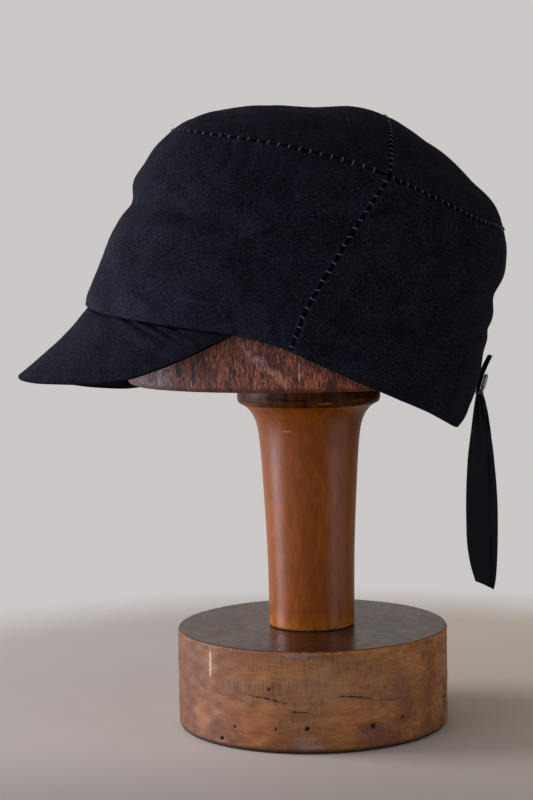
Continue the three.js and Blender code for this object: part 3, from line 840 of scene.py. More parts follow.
def peak_face(side, out, depth=0.0):
    inner = np.clip(side, -1 + WALL_STEP, 1 - WALL_STEP)
    between = np.clip(out, 0.02, 0.98)
    up = -outward(smooth_peak, inner, between, WALL_STEP)
    bend = (-PEAK_SAG + (PEAK_SWELL + PEAK_SAG) * side**2) * 4 * out * (1 - out) * (1 - side**6)
    points = smooth_peak(side, out)
    return points + up * (bend - depth)[..., None]


# %% Model the peak
PEAK_COLUMNS, PEAK_ROWS = 300, 70

side, out = np.meshgrid(2 * packed(PEAK_COLUMNS, 0.5) - 1, packed(PEAK_ROWS, 0.7))
flat_peak = peak_face(side, out, PEAK_COVER)
puckers = fold_lift(flat_peak, PUCKERS) * (1 - side**8)
soft = 0.22 * uneven(flat_peak, 30, 5) * (1 - side**8)
from_root = np.linalg.norm(flat_peak - flat_peak[0], axis=-1)
edge = roll_in(from_root[-1] - from_root, PEAK_EDGE / 2)
thick = PEAK_THICKNESS + (PEAK_EDGE - PEAK_THICKNESS) * out**4
thick = thick + (PEAK_TIP - thick) * np.abs(side) ** 16
peak_upper = peak_face(side, out, PEAK_COVER - puckers - soft + edge)
peak_lower = peak_face(side, out, PEAK_COVER + thick - soft - edge * ROLL)
peak = make_shell("cloth_peak", peak_upper, peak_lower, cap_cloth, "cap_cloth")
# Painted shade on the peak: black at its root under the hem, darker in the hollows of the puckers, and
# darker where the cloth rolls under at the rim. The ridges of the puckers are rubbed paler.
painted_hem_shadow = -np.exp(-((from_root / 2.7) ** 4))
pucker_shade_and_wear = np.clip(0.35 * puckers, -0.42, 0.3)
painted_rim_shade = -0.55 * np.exp(-(((from_root[-1] - from_root) / 1.1) ** 4))
peak_wear_and_shade = painted_hem_shadow + painted_rim_shade + np.stack([pucker_shade_and_wear, pucker_shade_and_wear * 0])
mark(peak, "wear_and_shade", peak_wear_and_shade)
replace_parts(peak, "peak")

# %% [markdown]
# ## Bars of thread
#
# Each bar is a short round tube that bows over the groove. All the bars of a seam are one mesh, because
# the thread of a seam is one thread.


# %% Sew the bars
def tubes(lines, radii, sides=8):
    """Round tubes along lines of points, all in one mesh. Their ends are closed."""
    all_points, all_faces, first = [], [], 0
    for line in lines:
        along = np.gradient(line, axis=0)
        along /= np.linalg.norm(along, axis=1, keepdims=True)
        helper = np.array([0.31, 0.17, 0.94])
        side_one = np.cross(along, helper)
        side_one /= np.linalg.norm(side_one, axis=1, keepdims=True)
        side_two = np.cross(along, side_one)
        angle = np.linspace(0, 2 * np.pi, sides, endpoint=False)
        around = np.cos(angle)[:, None, None] * side_one + np.sin(angle)[:, None, None] * side_two
        points = (line + around * np.asarray(radii)[:, None]).transpose(1, 0, 2)
        all_points.append(points.reshape(-1, 3))
        all_faces += [[first + k for k in face] for face in ring_faces(len(line), sides)]
        first += len(line) * sides
    return np.concatenate(all_points), all_faces


CAP_HEART = np.array([0.0, 0.0, 235.0])  # every bar faces away from the middle of the cap
BAR_RADIUS, THIN_BAR_RADIUS = 0.3, 0.22
THIN_SEAMS = ("stitches_top_back", "stitches_across_top")


def sew(name, bars, radius):
    before, middle, after = bars
    t = np.linspace(0, 1, 9)[:, None]
    lines = []
    for a, m, b in zip(before, middle, after):
        centre = (a + b) / 2
        facing = centre - CAP_HEART
        facing -= (b - a) * (facing @ (b - a)) / ((b - a) @ (b - a))
        facing /= np.linalg.norm(facing)
        crest = centre + 0.6 * (m - centre) + 0.1 * facing
        bow = a * (1 - t) ** 2 + (2 * crest - centre) * 2 * t * (1 - t) + b * t**2
        lines.append(bow - facing * 0.6 * np.abs(2 * t - 1) ** 5)
    radii = radius * np.array([0.8, 0.95, 1, 1, 1, 1, 1, 0.95, 0.8])
    make_piece(name, *tubes(lines, radii), thread_wax, "cap_cloth")


for seam_name, bars in BARS.items():
    sew(seam_name, bars, THIN_BAR_RADIUS if seam_name in THIN_SEAMS else BAR_RADIUS)

# %% [markdown]
# ## Tab, button and ribbon at the nape
#
# A short tab of the cap's cloth is sewn to the nape and stands off it at its free end. A turned horn
# button sits on the tab, and a ribbon folded in two hangs from it. The ribbon is a strip of tape 12 mm
# wide. Where it is gathered under the button it is drawn narrower, with a few pleats.

# %% Tab
tab_y = curve((0, 0.28, 0.55, 0.78, 1.0), (88.2, 89.7, 91.2, 93, 95.3))
tab_z = curve((0, 0.28, 0.55, 0.78, 1.0), (176.2, 181.7, 186.4, 190.4, 194.8))
TAB_WIDTH, TAB_THICKNESS = 12.0, 1.5


def smooth_tab(aside, up):
    cut = up * (1 + 0.03 * aside)  # the free end is cut a little on the slant
    return np.stack([aside * TAB_WIDTH / 2, tab_y(cut), tab_z(cut)], -1)


def tab(aside, up, lift=0.0):
    facing = outward(smooth_tab, aside, np.clip(up, 0.01, 0.99), 1e-3)
    facing *= np.sign(facing[..., 1:2])
    points = smooth_tab(aside, up)
    return points + facing * (TAB_THICKNESS + lift + 0.1 * uneven(points, 6, 9))[..., None]


aside, up = np.meshgrid(2 * packed(40) - 1, packed(60))
flat_tab = tab(aside, up)
edge = roll_in(nearest(flat_tab, border_line(flat_tab)), TAB_THICKNESS / 2) * ROLL
outer = tab(aside, up, -edge)
inner = tab(aside, up, edge - TAB_THICKNESS)
tab_piece = make_shell("cloth_tab", outer, inner, cap_cloth, "cap_cloth")
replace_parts(tab_piece, "back_tab")

# %% [markdown]
# This horn is a pale, cool grey with cloudy streaks. It is turned on a lathe and polished, so it gives a
# small sharp highlight on the rim.

# %% Horn button
horn = start_material("horn_turned_polished")
horn_place = own_place()
horn_cloud = span(cloud(horn_place, 2.5, detail=4.0, stretch=(1, 1, 3)), 0.35, 0.7)
horn_colour = blend(horn_cloud, "#868c94", "#bcc2cb")
finish_material(
    Base_Color=horn_colour, Roughness=0.22, IOR=1.54, Coat_Weight=0.4, Coat_Roughness=0.1
)
BUTTON_RADIUS, BUTTON_THICKNESS = 4.4, 1.9
BUTTON_SEAT, BUTTON_TILT = (91.7, 180.4), math.radians(-16)
BUTTON_PROFILE = (  # share of the radius, share of the thickness
    (0.02, 0.0), (0.8, 0.0), (0.93, 0.1), (0.99, 0.28), (1.0, 0.5), (0.98, 0.78), (0.93, 0.95),
    (0.86, 1.0), (0.79, 0.94), (0.7, 0.78), (0.5, 0.7), (0.25, 0.68), (0.02, 0.68),
)


def lathe(profile, segments):
    """Turns (radius, height) places round the z axis. Gives points and faces, closed at both ends."""
    radius, height = np.array(profile, float).T[..., None]
    angle = np.linspace(0, 2 * np.pi, segments, endpoint=False)
    points = np.stack([radius * np.cos(angle), radius * np.sin(angle), height + angle * 0], -1)
    return points.reshape(-1, 3), ring_faces(len(profile), segments)


def on_tab(points):
    """From the button's own frame, its back on z = 0, to its seat on the tab."""
    x, y, z = points.T
    c, s = math.cos(BUTTON_TILT), math.sin(BUTTON_TILT)
    return np.stack([x, BUTTON_SEAT[0] + z * c - y * s, BUTTON_SEAT[1] + y * c + z * s], -1)


profile = [(r * BUTTON_RADIUS, h * BUTTON_THICKNESS) for r, h in BUTTON_PROFILE]
points, faces = lathe(profile, 56)
button = make_piece("horn_button", on_tab(points), faces, horn, "horn")
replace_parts(button, "tab_button")
bow = np.linspace(-1, 1, 9)
crossing = [
    np.stack([bow * 1.3, bow * 0 + shift, BUTTON_THICKNESS * (1.0 - 0.35 * np.abs(bow) ** 3)], -1)
    for shift in (-0.55, 0.0, 0.55)
]
button_tubes = tubes([on_tab(line) for line in crossing], [BAR_RADIUS] * len(bow))
make_piece("button_thread", *button_tubes, thread_wax, "cap_cloth")

# %% [markdown]
# ### The ribbon
#
# The ribbon is a cotton tape with fine ribs across it. One strip, 208 mm long, is folded over the thread
# under the button, so two runs hang side by side and the near one covers three fifths of the far one.
# Pressed cloth like this needs no simulation: its two runs hang straight, and only the gather at the top
# and a slight curl along the edges show that it is soft.

# %% Ribbon tape
tape = start_material("cotton_tape_ribbed_woven")
tape_layout = add("UVMap", uv_map="threads").outputs[0]
ribs = waves_across(parts(tape_layout)[1], 0.9)  # real ribs are 0.5 mm apart
tape_cloud = cloud(tape_layout, 5, detail=3.0)
tape_colour = blend(span(tape_cloud, 0.35, 0.7), "#050508", "#0a0910")
tape_colour = blend(times(ribs, 0.35), tape_colour, "#12101a")
tape_normal = bumps(ribs, 0.4, 0.1)
finish_material(
    Base_Color=tape_colour, Normal=tape_normal, Roughness=0.7, IOR=1.5, Specular_IOR_Level=0.2
)

# %% Fold and hang the ribbon
TAPE_WIDTH, TAPE_THICKNESS, TAPE_ROWS, TAPE_ACROSS = 12.0, 0.35, 220, 49
RIBBON_Z = (69.2, 74.2, 82, 93, 106, 122, 140, 154, 168, 175.4)
ribbon_inner = curve(RIBBON_Z, (87.6, 86.9, 84.7, 82.9, 82.4, 82.5, 83.5, 85.3, 87.2, 88.6))
ribbon_outer = curve(RIBBON_Z, (96.9, 97.9, 98.6, 99.1, 99.3, 98.9, 97.4, 95.8, 93.6, 91.4))
RIBBON_TOP, RIBBON_FOOT_Z, RIBBON_SLANT = 175.4, 74.2, 5.0  # both runs are cut on one slant


def ribbon_run(near, up, across):
    """A point of one run. up goes from foot (0) to fold (1), across from inner edge (0) to outer (1)."""
    covered = 0.72 + 0.28 * up**6
    foot = RIBBON_FOOT_Z - RIBBON_SLANT * (across * covered if near else 1 - (1 - across) * covered)
    z = foot + (RIBBON_TOP - foot) * up
    inner, outer = ribbon_inner(z), ribbon_outer(z)
    shown = np.minimum(TAPE_WIDTH, (outer - inner) * covered)
    first_edge = inner if near else outer - shown
    spare = np.sqrt(np.maximum(TAPE_WIDTH**2 - shown**2, 0))
    pleats = 1 + 2.2 * np.clip((up - 0.55) / 0.45, 0, 1) ** 1.5
    depth = spare / (4 * pleats)
    swing = 1 if near else -1
    fold = depth * np.sin(2 * np.pi * pleats * across + 0.6) * np.clip((up - 0.02) / 0.3, 0.12, 1)
    x = swing * (0.62 + 0.18 * np.cos(np.pi * across)) + fold * 0.45
    return np.stack([x * (1 - 0.35 * up**8), first_edge + shown * across, z], -1)


rows = np.linspace(-1, 1, TAPE_ROWS)
up, across = np.meshgrid(1 - np.abs(rows), np.linspace(0, 1, TAPE_ACROSS), indexing="ij")
on_near = (rows < 0)[:, None, None]
middle = np.where(on_near, ribbon_run(True, up, across), ribbon_run(False, up, across))
facing = square_to(np.gradient(middle, axis=0), np.gradient(middle, axis=1))
outer, inner = middle + facing * TAPE_THICKNESS / 2, middle - facing * TAPE_THICKNESS / 2
ribbon = make_shell("ribbon_loop", outer, inner, tape, "ribbon_tape", layout_of=middle)
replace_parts(ribbon, "tie_ribbon")
turn = np.linspace(0, 2 * np.pi, 25)
across, along = 2.0 * np.cos(turn), 90.0 + 1.9 * np.sin(turn)
wraps = [np.stack([across, along, z + 0.3 * np.sin(turn)], -1) for z in (174.2, 175.1, 176.0)]
make_piece("ribbon_thread", *tubes(wraps, [0.35] * len(turn)), thread_wax, "ribbon_tape")

# %% [markdown]
# ## Wood
#
# Wood is a bundle of long cells, so its pattern is noise that has been pulled out along the grain: fine
# dark pores, broader streaks, and slow changes of tone across a board. What sets the three pieces of the
# stand apart is how they were cut and finished. The block is coarse, open-pored wood that was stained and
# then worn rough by pins and damp cloth. The column is turned and waxed, and shines most on its two
# flanks. The base is a turned slab, varnished on top, with bare worn sides that have dried out and
# checked.

# %% Marks on wood
def spot(across, height, ragged, place, half_sizes, strength):
    """A soft spot at a place given in millimetres. The ragged value breaks up its outline."""
    squares = []
    for coordinate, middle, half in zip((across, height), place, half_sizes):
        away = times(worked("SUBTRACT", coordinate, middle * MM), 1 / (half * MM))
        squares.append(times(away, away))
    broken = span(ragged, 0.3, 0.7, 0.0, 1.6, smooth=False)
    far = plus(plus(*squares), broken)
    return span(far, 0.9, 1.7, strength, 0.0)


def marked(colour, across, height, ragged, marks):
    for middle, up, half_across, half_up, strength, shade in marks:
        on_spot = spot(across, height, ragged, (middle, up), (half_across, half_up), strength)
        colour = blend(on_spot, colour, shade)
    return colour


# %% The block's wood
BLOCK_LEAN = math.radians(-4)  # the grain leans a little forward from upright
BLOCK_MARKS = (  # place from front to back, height, half sizes, strength, colour
    (-82, 190, 20, 16, 0.85, "#94807a"),  # the worn grey end under the peak
    (-64.5, 193, 1.8, 4.5, 1.0, "#140a08"),
    (-57.0, 190.5, 1.0, 7.0, 1.0, "#140a08"),
    (-21.5, 187.6, 1.1, 1.1, 1.0, "#140a08"),
)
BLOCK_SCRATCH = ((-4.5, 191.0, 0.4, 8.5, 1.0, "#e3c79a"),)
BOARD_SLANT = 0.83  # a paler board runs down to the back, this far for each millimetre of height
BOARD_MARKS = (  # place plus slant times height, height, half sizes, strength, colour
    (139.3, 201, 3.4, 12, 0.75, "#a87c6c"),
    (141.9, 198, 2.8, 13, 0.7, "#b08272"),
    (143.6, 190, 4.6, 6.0, 0.7, "#b9804a"),
    (131.5, 200, 1.6, 11, 0.45, "#1a0c0a"),
    (151.5, 196, 1.3, 9, 0.4, "#1a0c0a"),
)
block_wood = start_material("mahogany_stained_open_pored")
block_place = own_place()
leaning = add("Mapping", {"Vector": block_place, "Rotation": (BLOCK_LEAN, 0, 0)}).outputs[0]
pores = cloud(leaning, 0.45, detail=2.0, stretch=(1, 1, 8))
streaks = cloud(leaning, 4.5, detail=5.0, stretch=(1, 1, 6), roughness=0.7)
flecks = cloud(leaning, 1.5, detail=3.0, stretch=(1, 1, 3.5), roughness=0.6)
fibres = cloud(leaning, 0.5, detail=2.0, stretch=(1, 1, 3))
block_y, block_z = parts(block_place)[1:]
board = plus(block_y, times(block_z, BOARD_SLANT))
colour = blend(span(streaks, 0.36, 0.62), "#561e10", "#ad5d3a")
colour = blend(span(flecks, 0.55, 0.67, 0.0, 0.75), colour, "#cc7c46")
colour = marked(colour, block_y, block_z, flecks, BLOCK_MARKS)
colour = marked(colour, board, block_z, flecks, BOARD_MARKS)
colour = blend(span(fibres, 0.5, 0.62, 0.0, 0.45), colour, "#1c0d0a")
open_pores = span(pores, 0.41, 0.51, 1.0, 0.0)
colour = blend(times(open_pores, 0.88), colour, "#120908")
colour = marked(colour, block_y, block_z, flecks, BLOCK_SCRATCH)
low_rim = span(block_z, 183.0 * MM, 186.0 * MM, 0.5, 0.0)
colour = blend(low_rim, colour, "#2a1512")
block_heights = plus(open_pores, times(streaks, -0.5))
block_normal = bumps(block_heights, 0.8, -0.5)
finish_material(
    Base_Color=colour, Normal=block_normal, Roughness=0.5, IOR=1.5, Specular_IOR_Level=0.35
)

# %% The column's wood
COLUMN_MARKS = (  # place from front to back, height, half sizes, strength, colour
    (-20.5, 175.6, 11, 1.3, 1.0, "#070404"),  # a smear of old glue on the collar
    (-8, 175.0, 12, 0.7, 0.9, "#0b0605"),
    (8, 173.2, 6, 0.8, 0.4, "#a86a2c"),
    (-30, 172.2, 6, 0.7, 0.5, "#b07a3c"),
    (26, 174, 5, 0.9, 0.35, "#a0622f"),
    (-12, 158, 3, 0.5, 0.8, "#b98a5c"),
)
column_wood = start_material("beech_turned_stained_waxed")
column_place = own_place()
column_y, column_z = parts(column_place)[1:]
grain = cloud(column_place, 1.2, detail=3.0, stretch=(1, 1, 9))
patches = cloud(column_place, 5, detail=6.0, stretch=(1, 1, 2.5), roughness=0.7)
turning = cloud(column_place, 0.8, detail=2.0, stretch=(40, 40, 1))
colour = blend(span(patches, 0.32, 0.7), "#7f400a", "#9a4f10")
colour = blend(span(grain, 0.42, 0.62, 0.15, 0.0), colour, "#331406")
colour = blend(span(turning, 0.55, 0.72, 0.0, 0.15), colour, "#9a5a26")
foot = span(column_z, 53 * MM, 64 * MM, 1.0, 0.0)
foot = times(foot, span(patches, 0.38, 0.6, 0.35, 0.9))
colour = blend(foot, colour, "#b5691c")
wax_rim = span(column_z, 52.6 * MM, 53.3 * MM, 0.75, 0.0)
colour = blend(wax_rim, colour, "#85766c")
# Painted shadow: the collar lies under the overhang of the block and is painted dark for the shadow that
# falls on it.
collar = span(column_z, 170.6 * MM, 171.4 * MM, 0.0, 0.95)
painted_block_shadow = times(collar, span(patches, 0.35, 0.65, 1.0, 0.7))
colour = blend(painted_block_shadow, colour, "#2c1204")
colour = marked(colour, column_y, column_z, patches, COLUMN_MARKS)
turned_from_view = add("LayerWeight", {"Blend": 0.5}).outputs["Facing"]
waxed = span(turned_from_view, 0.28, 0.5, 1.0, 0.3)
off_middle = worked("ABSOLUTE", plus(column_y, 2 * MM))
waxed = times(waxed, span(off_middle, 9 * MM, 15 * MM, 0.25, 1.0))
# The collar's painted shadow also turns its wax coat down.
waxed = times(waxed, span(collar, 0.0, 1.0, 1.0, 0.12))
column_normal = bumps(turning, 0.25, 0.12)
finish_material(
    Base_Color=colour,
    Roughness=span(patches, 0.3, 0.7, 0.34, 0.42),
    Normal=column_normal,
    Coat_Weight=waxed,
    IOR=1.5,
    Specular_IOR_Level=0.05,
    Coat_Roughness=0.3,
)

# %% The base's wood
BASE_MARKS = (  # distance round, height, half sizes, strength, colour
    (-3, 5, 9, 6, 0.36, "#8b8688"),  # grey bloom at the foot
    (-5, 11, 2, 6, 0.3, "#7c797c"),
    (-9, 50.3, 10, 1.5, 0.6, "#74757f"),  # chips in the varnish
    (-15, 49.8, 1.6, 0.8, 0.5, "#1c1210"),
    (-9, 48.6, 1.2, 0.7, 0.5, "#1c1210"),
    (-2, 49.0, 0.9, 1.6, 0.6, "#241612"),
    (-4, 38, 1.6, 9, 0.4, "#5e4336"),
    (-58.8, 43, 1.1, 9.5, 0.95, "#d3ab82"),  # a long pale scratch
    (-66, 14, 9, 10, 0.4, "#b57b4e"),
    (-30, 14, 12, 9, 0.35, "#9a4f24"),
    (29, 12.5, 10, 4.5, 0.5, "#4a2a1c"),
    (62, 22, 14, 14, 0.25, "#54301c"),
    (-48, 8, 18, 6, 0.3, "#4d2d20"),
    (4, 34, 18, 14, 0.3, "#a58365"),
)
base_wood = start_material("beech_slab_turned_worn_varnish")
base_place = own_place()
base_x, base_y, base_z = parts(base_place)
BASE_RADIUS, BASE_HEIGHT = 71.5, 52.3
along_side = times(worked("ARCTAN2", base_y, base_x), BASE_RADIUS * MM)
unrolled = add("CombineXYZ", {0: along_side, 1: base_z})
side_grain = cloud(base_place, 0.8, detail=4.0, stretch=(4, 9, 1), roughness=0.62)
side_tone = cloud(base_place, 14, detail=5.0, stretch=(1, 2.2, 0.8), roughness=0.62)
tool_marks = cloud(unrolled, 0.45, detail=2.0, stretch=(1, 22, 1))
chipped_off = cloud(base_place, 1.2, detail=4.0, roughness=0.7)
colour = blend(span(side_tone, 0.32, 0.68), "#824c20", "#bb7a3f")
# Painted shade: the side is darker towards the front.
painted_front_shade = span(base_y, -71 * MM, -16 * MM, 0.72, 0.0)
colour = blend(painted_front_shade, colour, "#5c331c")
colour = blend(span(side_grain, 0.42, 0.6, 0.3, 0.0), colour, "#3f2212")
middle_marks = spot(along_side, base_z, side_tone, (4, 32), (58, 26), 0.22)
middle_marks = times(middle_marks, span(tool_marks, 0.42, 0.62))
colour = blend(middle_marks, colour, "#c0a482")
worn_specks = span(cloud(unrolled, 0.9, detail=3.0), 0.62, 0.72, 0.0, 0.35)
colour = blend(worn_specks, colour, "#a98058")
colour = marked(colour, along_side, base_z, chipped_off, BASE_MARKS)
top_wear = cloud(base_place, 5, detail=4.0)
# The upper rim is painted paler orange, most on the right: partly wear, partly a painted highlight.
edge_height = span(base_z, 50.2 * MM, 51.0 * MM)
edge_wear_and_highlight = times(edge_height, span(top_wear, 0.45, 0.58, 0.1, 1.0))
edge_wear_and_highlight = times(edge_wear_and_highlight, span(along_side, -20 * MM, 12 * MM, 0.12, 1.0))
colour = blend(edge_wear_and_highlight, colour, "#b9702f")
on_top = span(base_z, 51.9 * MM, 52.2 * MM)
top_tone = span(cloud(base_place, 24, detail=4.0, roughness=0.6), 0.3, 0.7)
varnish = blend(top_tone, "#331a0b", "#502c14")
colour = blend(on_top, colour, varnish)
# Painted shadow: the foot of the side is nearly black where the base meets the floor.
painted_contact_shadow = span(base_z, 0.8 * MM, 3.8 * MM, 0.96, 0.0)
colour = blend(painted_contact_shadow, colour, "#1c100b")
# Painted shade in the checks and beetle holes, darker where they go deeper.
dark = add("Attribute", attribute_name="checks").outputs["Fac"]
colour = blend(dark, colour, "#120806")
side_rough = span(side_tone, 0.3, 0.7, 0.62, 0.5)
top_rough = span(top_wear, 0.3, 0.7, 0.24, 0.32)
rough = add("Mix", {0: on_top, 2: side_rough, 3: top_rough}, data_type="FLOAT").outputs[0]
side_heights = plus(side_grain, times(tool_marks, 0.3))
off_top = span(on_top, 0.0, 1.0, 1.0, 0.04)
base_normal = bumps(times(side_heights, off_top), 0.35, 0.3)
finish_material(
    Base_Color=colour, Roughness=rough, Normal=base_normal, IOR=1.5, Specular_IOR_Level=0.38
)

# %% [markdown]
# ## The stand
#
# Turned wood is a profile that goes round an axis. The block is a loft instead: ovals at a few heights,
# because a head is longer than it is wide. The base carries its damage in its mesh: drying has opened
# checks along the grain, and beetles have left a few round holes. The mesh is finest on the left side,
# where the narrowest checks lie, and each point keeps how deep it sits, so that the material can paint
# shade into the checks and holes.

# %% Block
BLOCK_Z = (182.5, 205, 228, 248, 264, 279, 293, 304, 313, 319.5)
block_front = curve(BLOCK_Z, (-94.5, -97, -99, -98.5, -92, -82, -71.5, -59.5, -46, -28))
block_back = curve(BLOCK_Z, (86, 89.3, 92.3, 96.5, 95, 84, 71.5, 59, 45, 30))
block_half = curve(BLOCK_Z, (79, 80, 80.5, 80, 75.5, 68.5, 59.5, 48.5, 36, 20))
BLOCK_EDGE, BLOCK_TOP, BLOCK_POWER, BLOCK_COLUMNS = 3.0, 322.2, 2.1, 260


def block_ring(z, inset):
    angle = np.linspace(0, 2 * np.pi, BLOCK_COLUMNS, endpoint=False)
    front, back, half = block_front(z) + inset, block_back(z) - inset, block_half(z) - inset
    x, y = on_oval(angle, front, (front + back) / 2, back, half, BLOCK_POWER)
    return np.stack([x, y, np.full(len(x), z)], -1)


low_edge = np.linspace(0, np.pi / 2, 7)
rings = [block_ring(BLOCK_Z[0], inset) for inset in (78, 50, 20)]
for a in low_edge:
    rings.append(block_ring(BLOCK_Z[0] + BLOCK_EDGE * (1 - math.cos(a)), BLOCK_EDGE * (1 - math.sin(a))))
rings += [block_ring(z, 0) for z in np.linspace(BLOCK_Z[0] + BLOCK_EDGE + 1, BLOCK_Z[-1], 70)]
rings.append(rings[-1] * [0.35, 0.35, 0] + [0, 0, BLOCK_TOP])
block_points = np.concatenate(rings)
block_points += uneven(block_points, 16, 11)[:, None] * block_points * [0.0022, 0.0022, 0]
block_faces = ring_faces(len(rings), BLOCK_COLUMNS)
block = make_piece("carved_block", block_points, block_faces, block_wood, "block_wood")
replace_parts(block, "hat_block")

# %% Column
COLUMN_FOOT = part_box("column")[0].z / MM
COLUMN_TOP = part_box("column")[1].z / MM - COLUMN_FOOT
column_radius = curve((0, 40, 80, 101, 110, 116, 119), (22.6, 23.2, 25.1, 26.7, 28.7, 32.6, 37.2))
COLLAR_RADIUS, COLLAR_EDGE = 37.8, 1.2
profile = [(0.5, 0.0)] + [(float(column_radius(z)), z) for z in np.linspace(0, 119, 110)]
profile[1] = (22.2, 0.0)
profile.insert(2, (22.55, 0.4))
profile += [(COLLAR_RADIUS - 0.2, 120.2), (COLLAR_RADIUS, 121.2)]
for a in np.linspace(0, np.pi / 2, 6):
    drop = COLLAR_EDGE * (1 - math.sin(a))
    profile.append((COLLAR_RADIUS - COLLAR_EDGE * (1 - math.cos(a)), COLUMN_TOP - drop))
profile.append((0.5, COLUMN_TOP))
points, faces = lathe(profile, 144)
column = make_piece("turned_column", points + [0, 0, COLUMN_FOOT], faces, column_wood, "column_wood")
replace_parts(column, "column")

# %% Base
CHECKS = (  # distance round the side and height of both ends, width, depth
    (-36, 29.6, -12, 26.0, 0.30, 1.2),
    (-13, 22.3, 1, 20.6, 0.30, 1.1),
    (11, 30.0, 32, 26.8, 0.34, 1.4),
    (32, 26.0, 50, 24.0, 0.26, 1.0),
    (-2, 29.0, 8, 27.8, 0.20, 0.4),
    (-41, 26.2, -34, 24.5, 0.20, 0.4),
    (-60, 8.5, 29, 11.0, 0.20, 0.25),
    (6, 20.3, 24, 19.3, 0.25, 0.35),
    (150, 27, 178, 24, 0.60, 1.3),
    (186, 22, 205, 20, 0.55, 1.0),
    (-160, 31, -132, 27, 0.60, 1.2),
    (84, 18, 104, 15, 0.50, 0.9),
    (-105, 20, -88, 18, 0.50, 0.8),
)
HOLES = (  # distance round the side, height, radius
    (-22.5, 32.8, 0.6), (-3.2, 13.3, 1.0), (31.0, 12.8, 1.15), (49.2, 14.8, 0.8), (-19.2, 12.5, 0.55),
    (-51.0, 4.6, 0.9), (-42.2, 11.8, 0.5), (38.0, 32.0, 0.45), (160.0, 12.0, 1.0), (196.0, 34.0, 0.8),
    (-140.0, 14.0, 0.9), (-95.0, 33.0, 0.8), (95.0, 30.0, 0.8),
)


def damage(s, z):
    """How deep the checks and beetle holes go at each place on the side, in millimetres."""
    depth = np.zeros(s.shape)
    for s0, z0, s1, z1, width, deep in CHECKS:
        t = np.clip((s - s0) / (s1 - s0), 0, 1)
        line = z0 + (z1 - z0) * t + 0.22 * np.sin(s * 0.4 + z0) + 0.07 * np.sin(s * 1.9 + s0)
        opening = np.sin(np.pi * t) ** 0.6 * (0.75 + 0.25 * np.sin(s * 1.3 + z1))
        inside = (s > s0) & (s < s1)
        off_line = (z - line) / (width * (0.4 + 0.6 * opening))
        depth = np.maximum(depth, inside * deep * opening * np.exp(-(off_line**2)))
    for hole_s, hole_z, radius in HOLES:
        away = np.hypot(s - hole_s, z - hole_z) / radius
        depth = np.maximum(depth, 1.5 * np.exp(-(away**4)))
    return depth


BASE_COLUMNS = 640
BASE_EDGE, BASE_TOP_EDGE = 2.5, 1.2  # the upper rim is sharper than the lower one
angle = 2 * np.pi * packed(BASE_COLUMNS + 1, 0.55)[:-1]
corner = np.linspace(0, np.pi / 2, 8)
inset = BASE_RADIUS - BASE_EDGE
profile = [(r, 0.0) for r in (0.5, 40.0, 62.0)]
profile += [(inset + BASE_EDGE * math.sin(a), BASE_EDGE * (1 - math.cos(a))) for a in corner]
profile += [(BASE_RADIUS, z) for z in np.linspace(BASE_EDGE, BASE_HEIGHT - 1.4, 112)[1:-1]]
for a in corner:
    drop = BASE_TOP_EDGE * (1 - math.sin(a))
    profile.append((BASE_RADIUS - BASE_TOP_EDGE * (1 - math.cos(a)), BASE_HEIGHT - drop))
profile += [(r, BASE_HEIGHT) for r in (69.5, 66, 60, 50, 40, 30, 22, 12, 0.5)]
profile = np.array(profile)
radius, height = profile[:, :1], profile[:, 1:]
round_side = np.where(angle > np.pi, angle - 2 * np.pi, angle)[None, :] * BASE_RADIUS
s, height = np.broadcast_arrays(round_side, height)
nothing = np.zeros(s.shape)
on_side = (radius > BASE_RADIUS - 0.01) * 1.0
depth = damage(s, height) * on_side
wavy = 0.16 * uneven(np.stack([s, height, nothing], -1), 9, 13)
nicks = np.clip(uneven(np.stack([s, nothing, nothing], -1), 5, 17) - 0.9, 0, 1)
chipped = 0.7 * nicks * np.exp(-(((height - BASE_HEIGHT + 0.5) / 1.2) ** 2)) * (radius > inset)
at_radius = radius - depth - wavy * on_side - chipped
points = [at_radius * np.cos(angle), at_radius * np.sin(angle), height - chipped * 0.5]
points = np.stack(points, -1)
base_faces = ring_faces(len(profile), BASE_COLUMNS)
base = make_piece("turned_base", points.reshape(-1, 3), base_faces, base_wood, "base_wood")
mark(base, "checks", np.clip(depth / 0.7, 0, 1))
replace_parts(base, "base")

# %% [markdown]
# ## Floor and light
#
# The cap stands on a plain pale floor in a pale room. A large soft window ahead of the peak gives most of
# the light, which leaves the peak and brow lightest and lets the nape fall into shade. A narrow, weaker
# window behind the cap picks out its back edge. The walls of the room give back a little light.

# %% Floor
FLOOR_HALF = 0.45
plaster = start_material("plaster_floor_pale")
floor_place = own_place()
reach = add("VectorMath", {0: floor_place}, operation="LENGTH").outputs["Value"]
floor_mottle = span(cloud(floor_place, 40, detail=4.0), 0.3, 0.7, 0.0, 0.12)
floor_x, floor_y = parts(floor_place)[:2]
# Painted light: the floor is paler towards +Y, which thins the shadow of the base on that side.
floor_colour = blend(span(floor_y, -0.1, 0.2), "#ded3c2", "#ebdcbf")
floor_colour = blend(floor_mottle, floor_colour, "#c9beae")
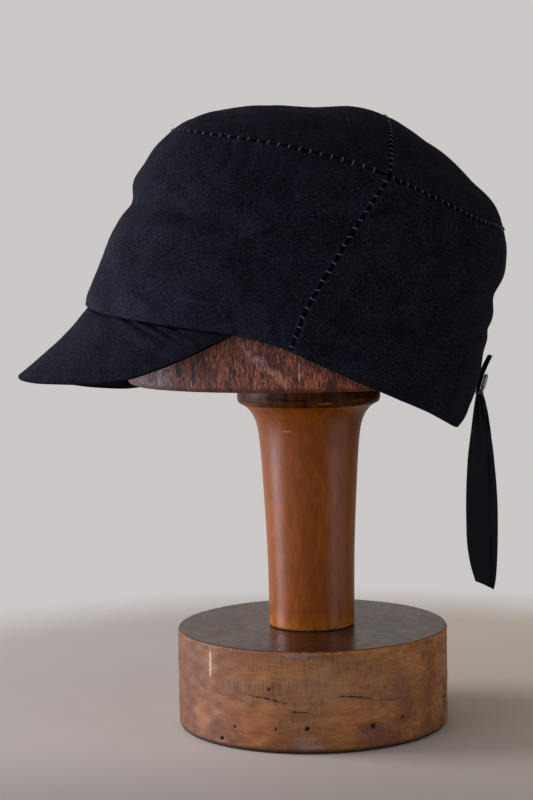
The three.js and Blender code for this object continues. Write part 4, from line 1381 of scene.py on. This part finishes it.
# Painted shade: the floor is darker on the camera's side.
in_front = span(floor_x, 0.02, 0.2, 0.0, 0.65)
floor_colour = blend(in_front, floor_colour, "#a89c8c")
floor_shown = span(reach, 0.27, 0.40, 1.0, 0.0)
finish_material(Base_Color=floor_colour, Alpha=floor_shown, Roughness=0.8)
floor_mesh = bpy.data.meshes.new("floor")
corners = [(-1, -1), (1, -1), (1, 1), (-1, 1)]
floor_mesh.from_pydata([(x * FLOOR_HALF, y * FLOOR_HALF, 0) for x, y in corners], [], [(0, 1, 2, 3)])
floor_mesh.materials.append(plaster)
floor = bpy.data.objects.new("floor", floor_mesh)
bpy.context.scene.collection.objects.link(floor)

# %% Window and room
WINDOWS = (  # name, place, width, height, power in watts
    ("window_left", (-0.15, -1.5, 0.42), 0.8, 1.0, 24),
    ("window_right", (0.84, 1.34, 0.42), 0.45, 1.1, 2.8),
)
for name, place, width, height, power in WINDOWS:
    window_data = bpy.data.lights.new(name, "AREA")
    window_data.shape = "RECTANGLE"
    window_data.size, window_data.size_y = width, height
    window_data.energy = power
    window_data.color = linear("#ebecff")[:3]
    window = bpy.data.objects.new(name, window_data)
    window.location = place
    window.rotation_euler = (Vector((0, 0, 0.2)) - Vector(place)).to_track_quat("-Z", "Y").to_euler()
    bpy.context.scene.collection.objects.link(window)

room = start(bpy.data.worlds.new("room"))
look = add("TexCoord").outputs["Generated"]


def lit_wall(direction, strength):
    """Light from one side of the room, strongest straight from that side."""
    ahead = add("VectorMath", {0: look, 1: direction}, operation="DOT_PRODUCT")
    ahead = worked("MAXIMUM", ahead.outputs["Value"], 0.0)
    return times(worked("POWER", ahead, 2.0), strength)


walls = plus(lit_wall((-0.2, -0.98, 0.0), 1.15), lit_wall((0.5, 0.87, 0.0), 0.52))
walls = plus(walls, lit_wall((0.6, -0.8, 0.0), 1.0))
walls = plus(walls, lit_wall((-1.0, 0.0, 0.0), 0.5))
seen = add("LightPath").outputs["Is Camera Ray"]
strength = add("Mix", {0: seen, 2: walls, 3: 0.92}, data_type="FLOAT").outputs[0]
look_x = parts(look)[0]
lighting = blend(span(look_x, -1.0, 0.2), "#f2e9e2", "#ececff")
wall_colour = blend(seen, lighting, "#d3cfce")
wall_light = add("Background", {"Color": wall_colour, "Strength": strength})
add("OutputWorld", {"Surface": wall_light})
bpy.context.scene.world = room
print(len(WINDOWS), "windows")
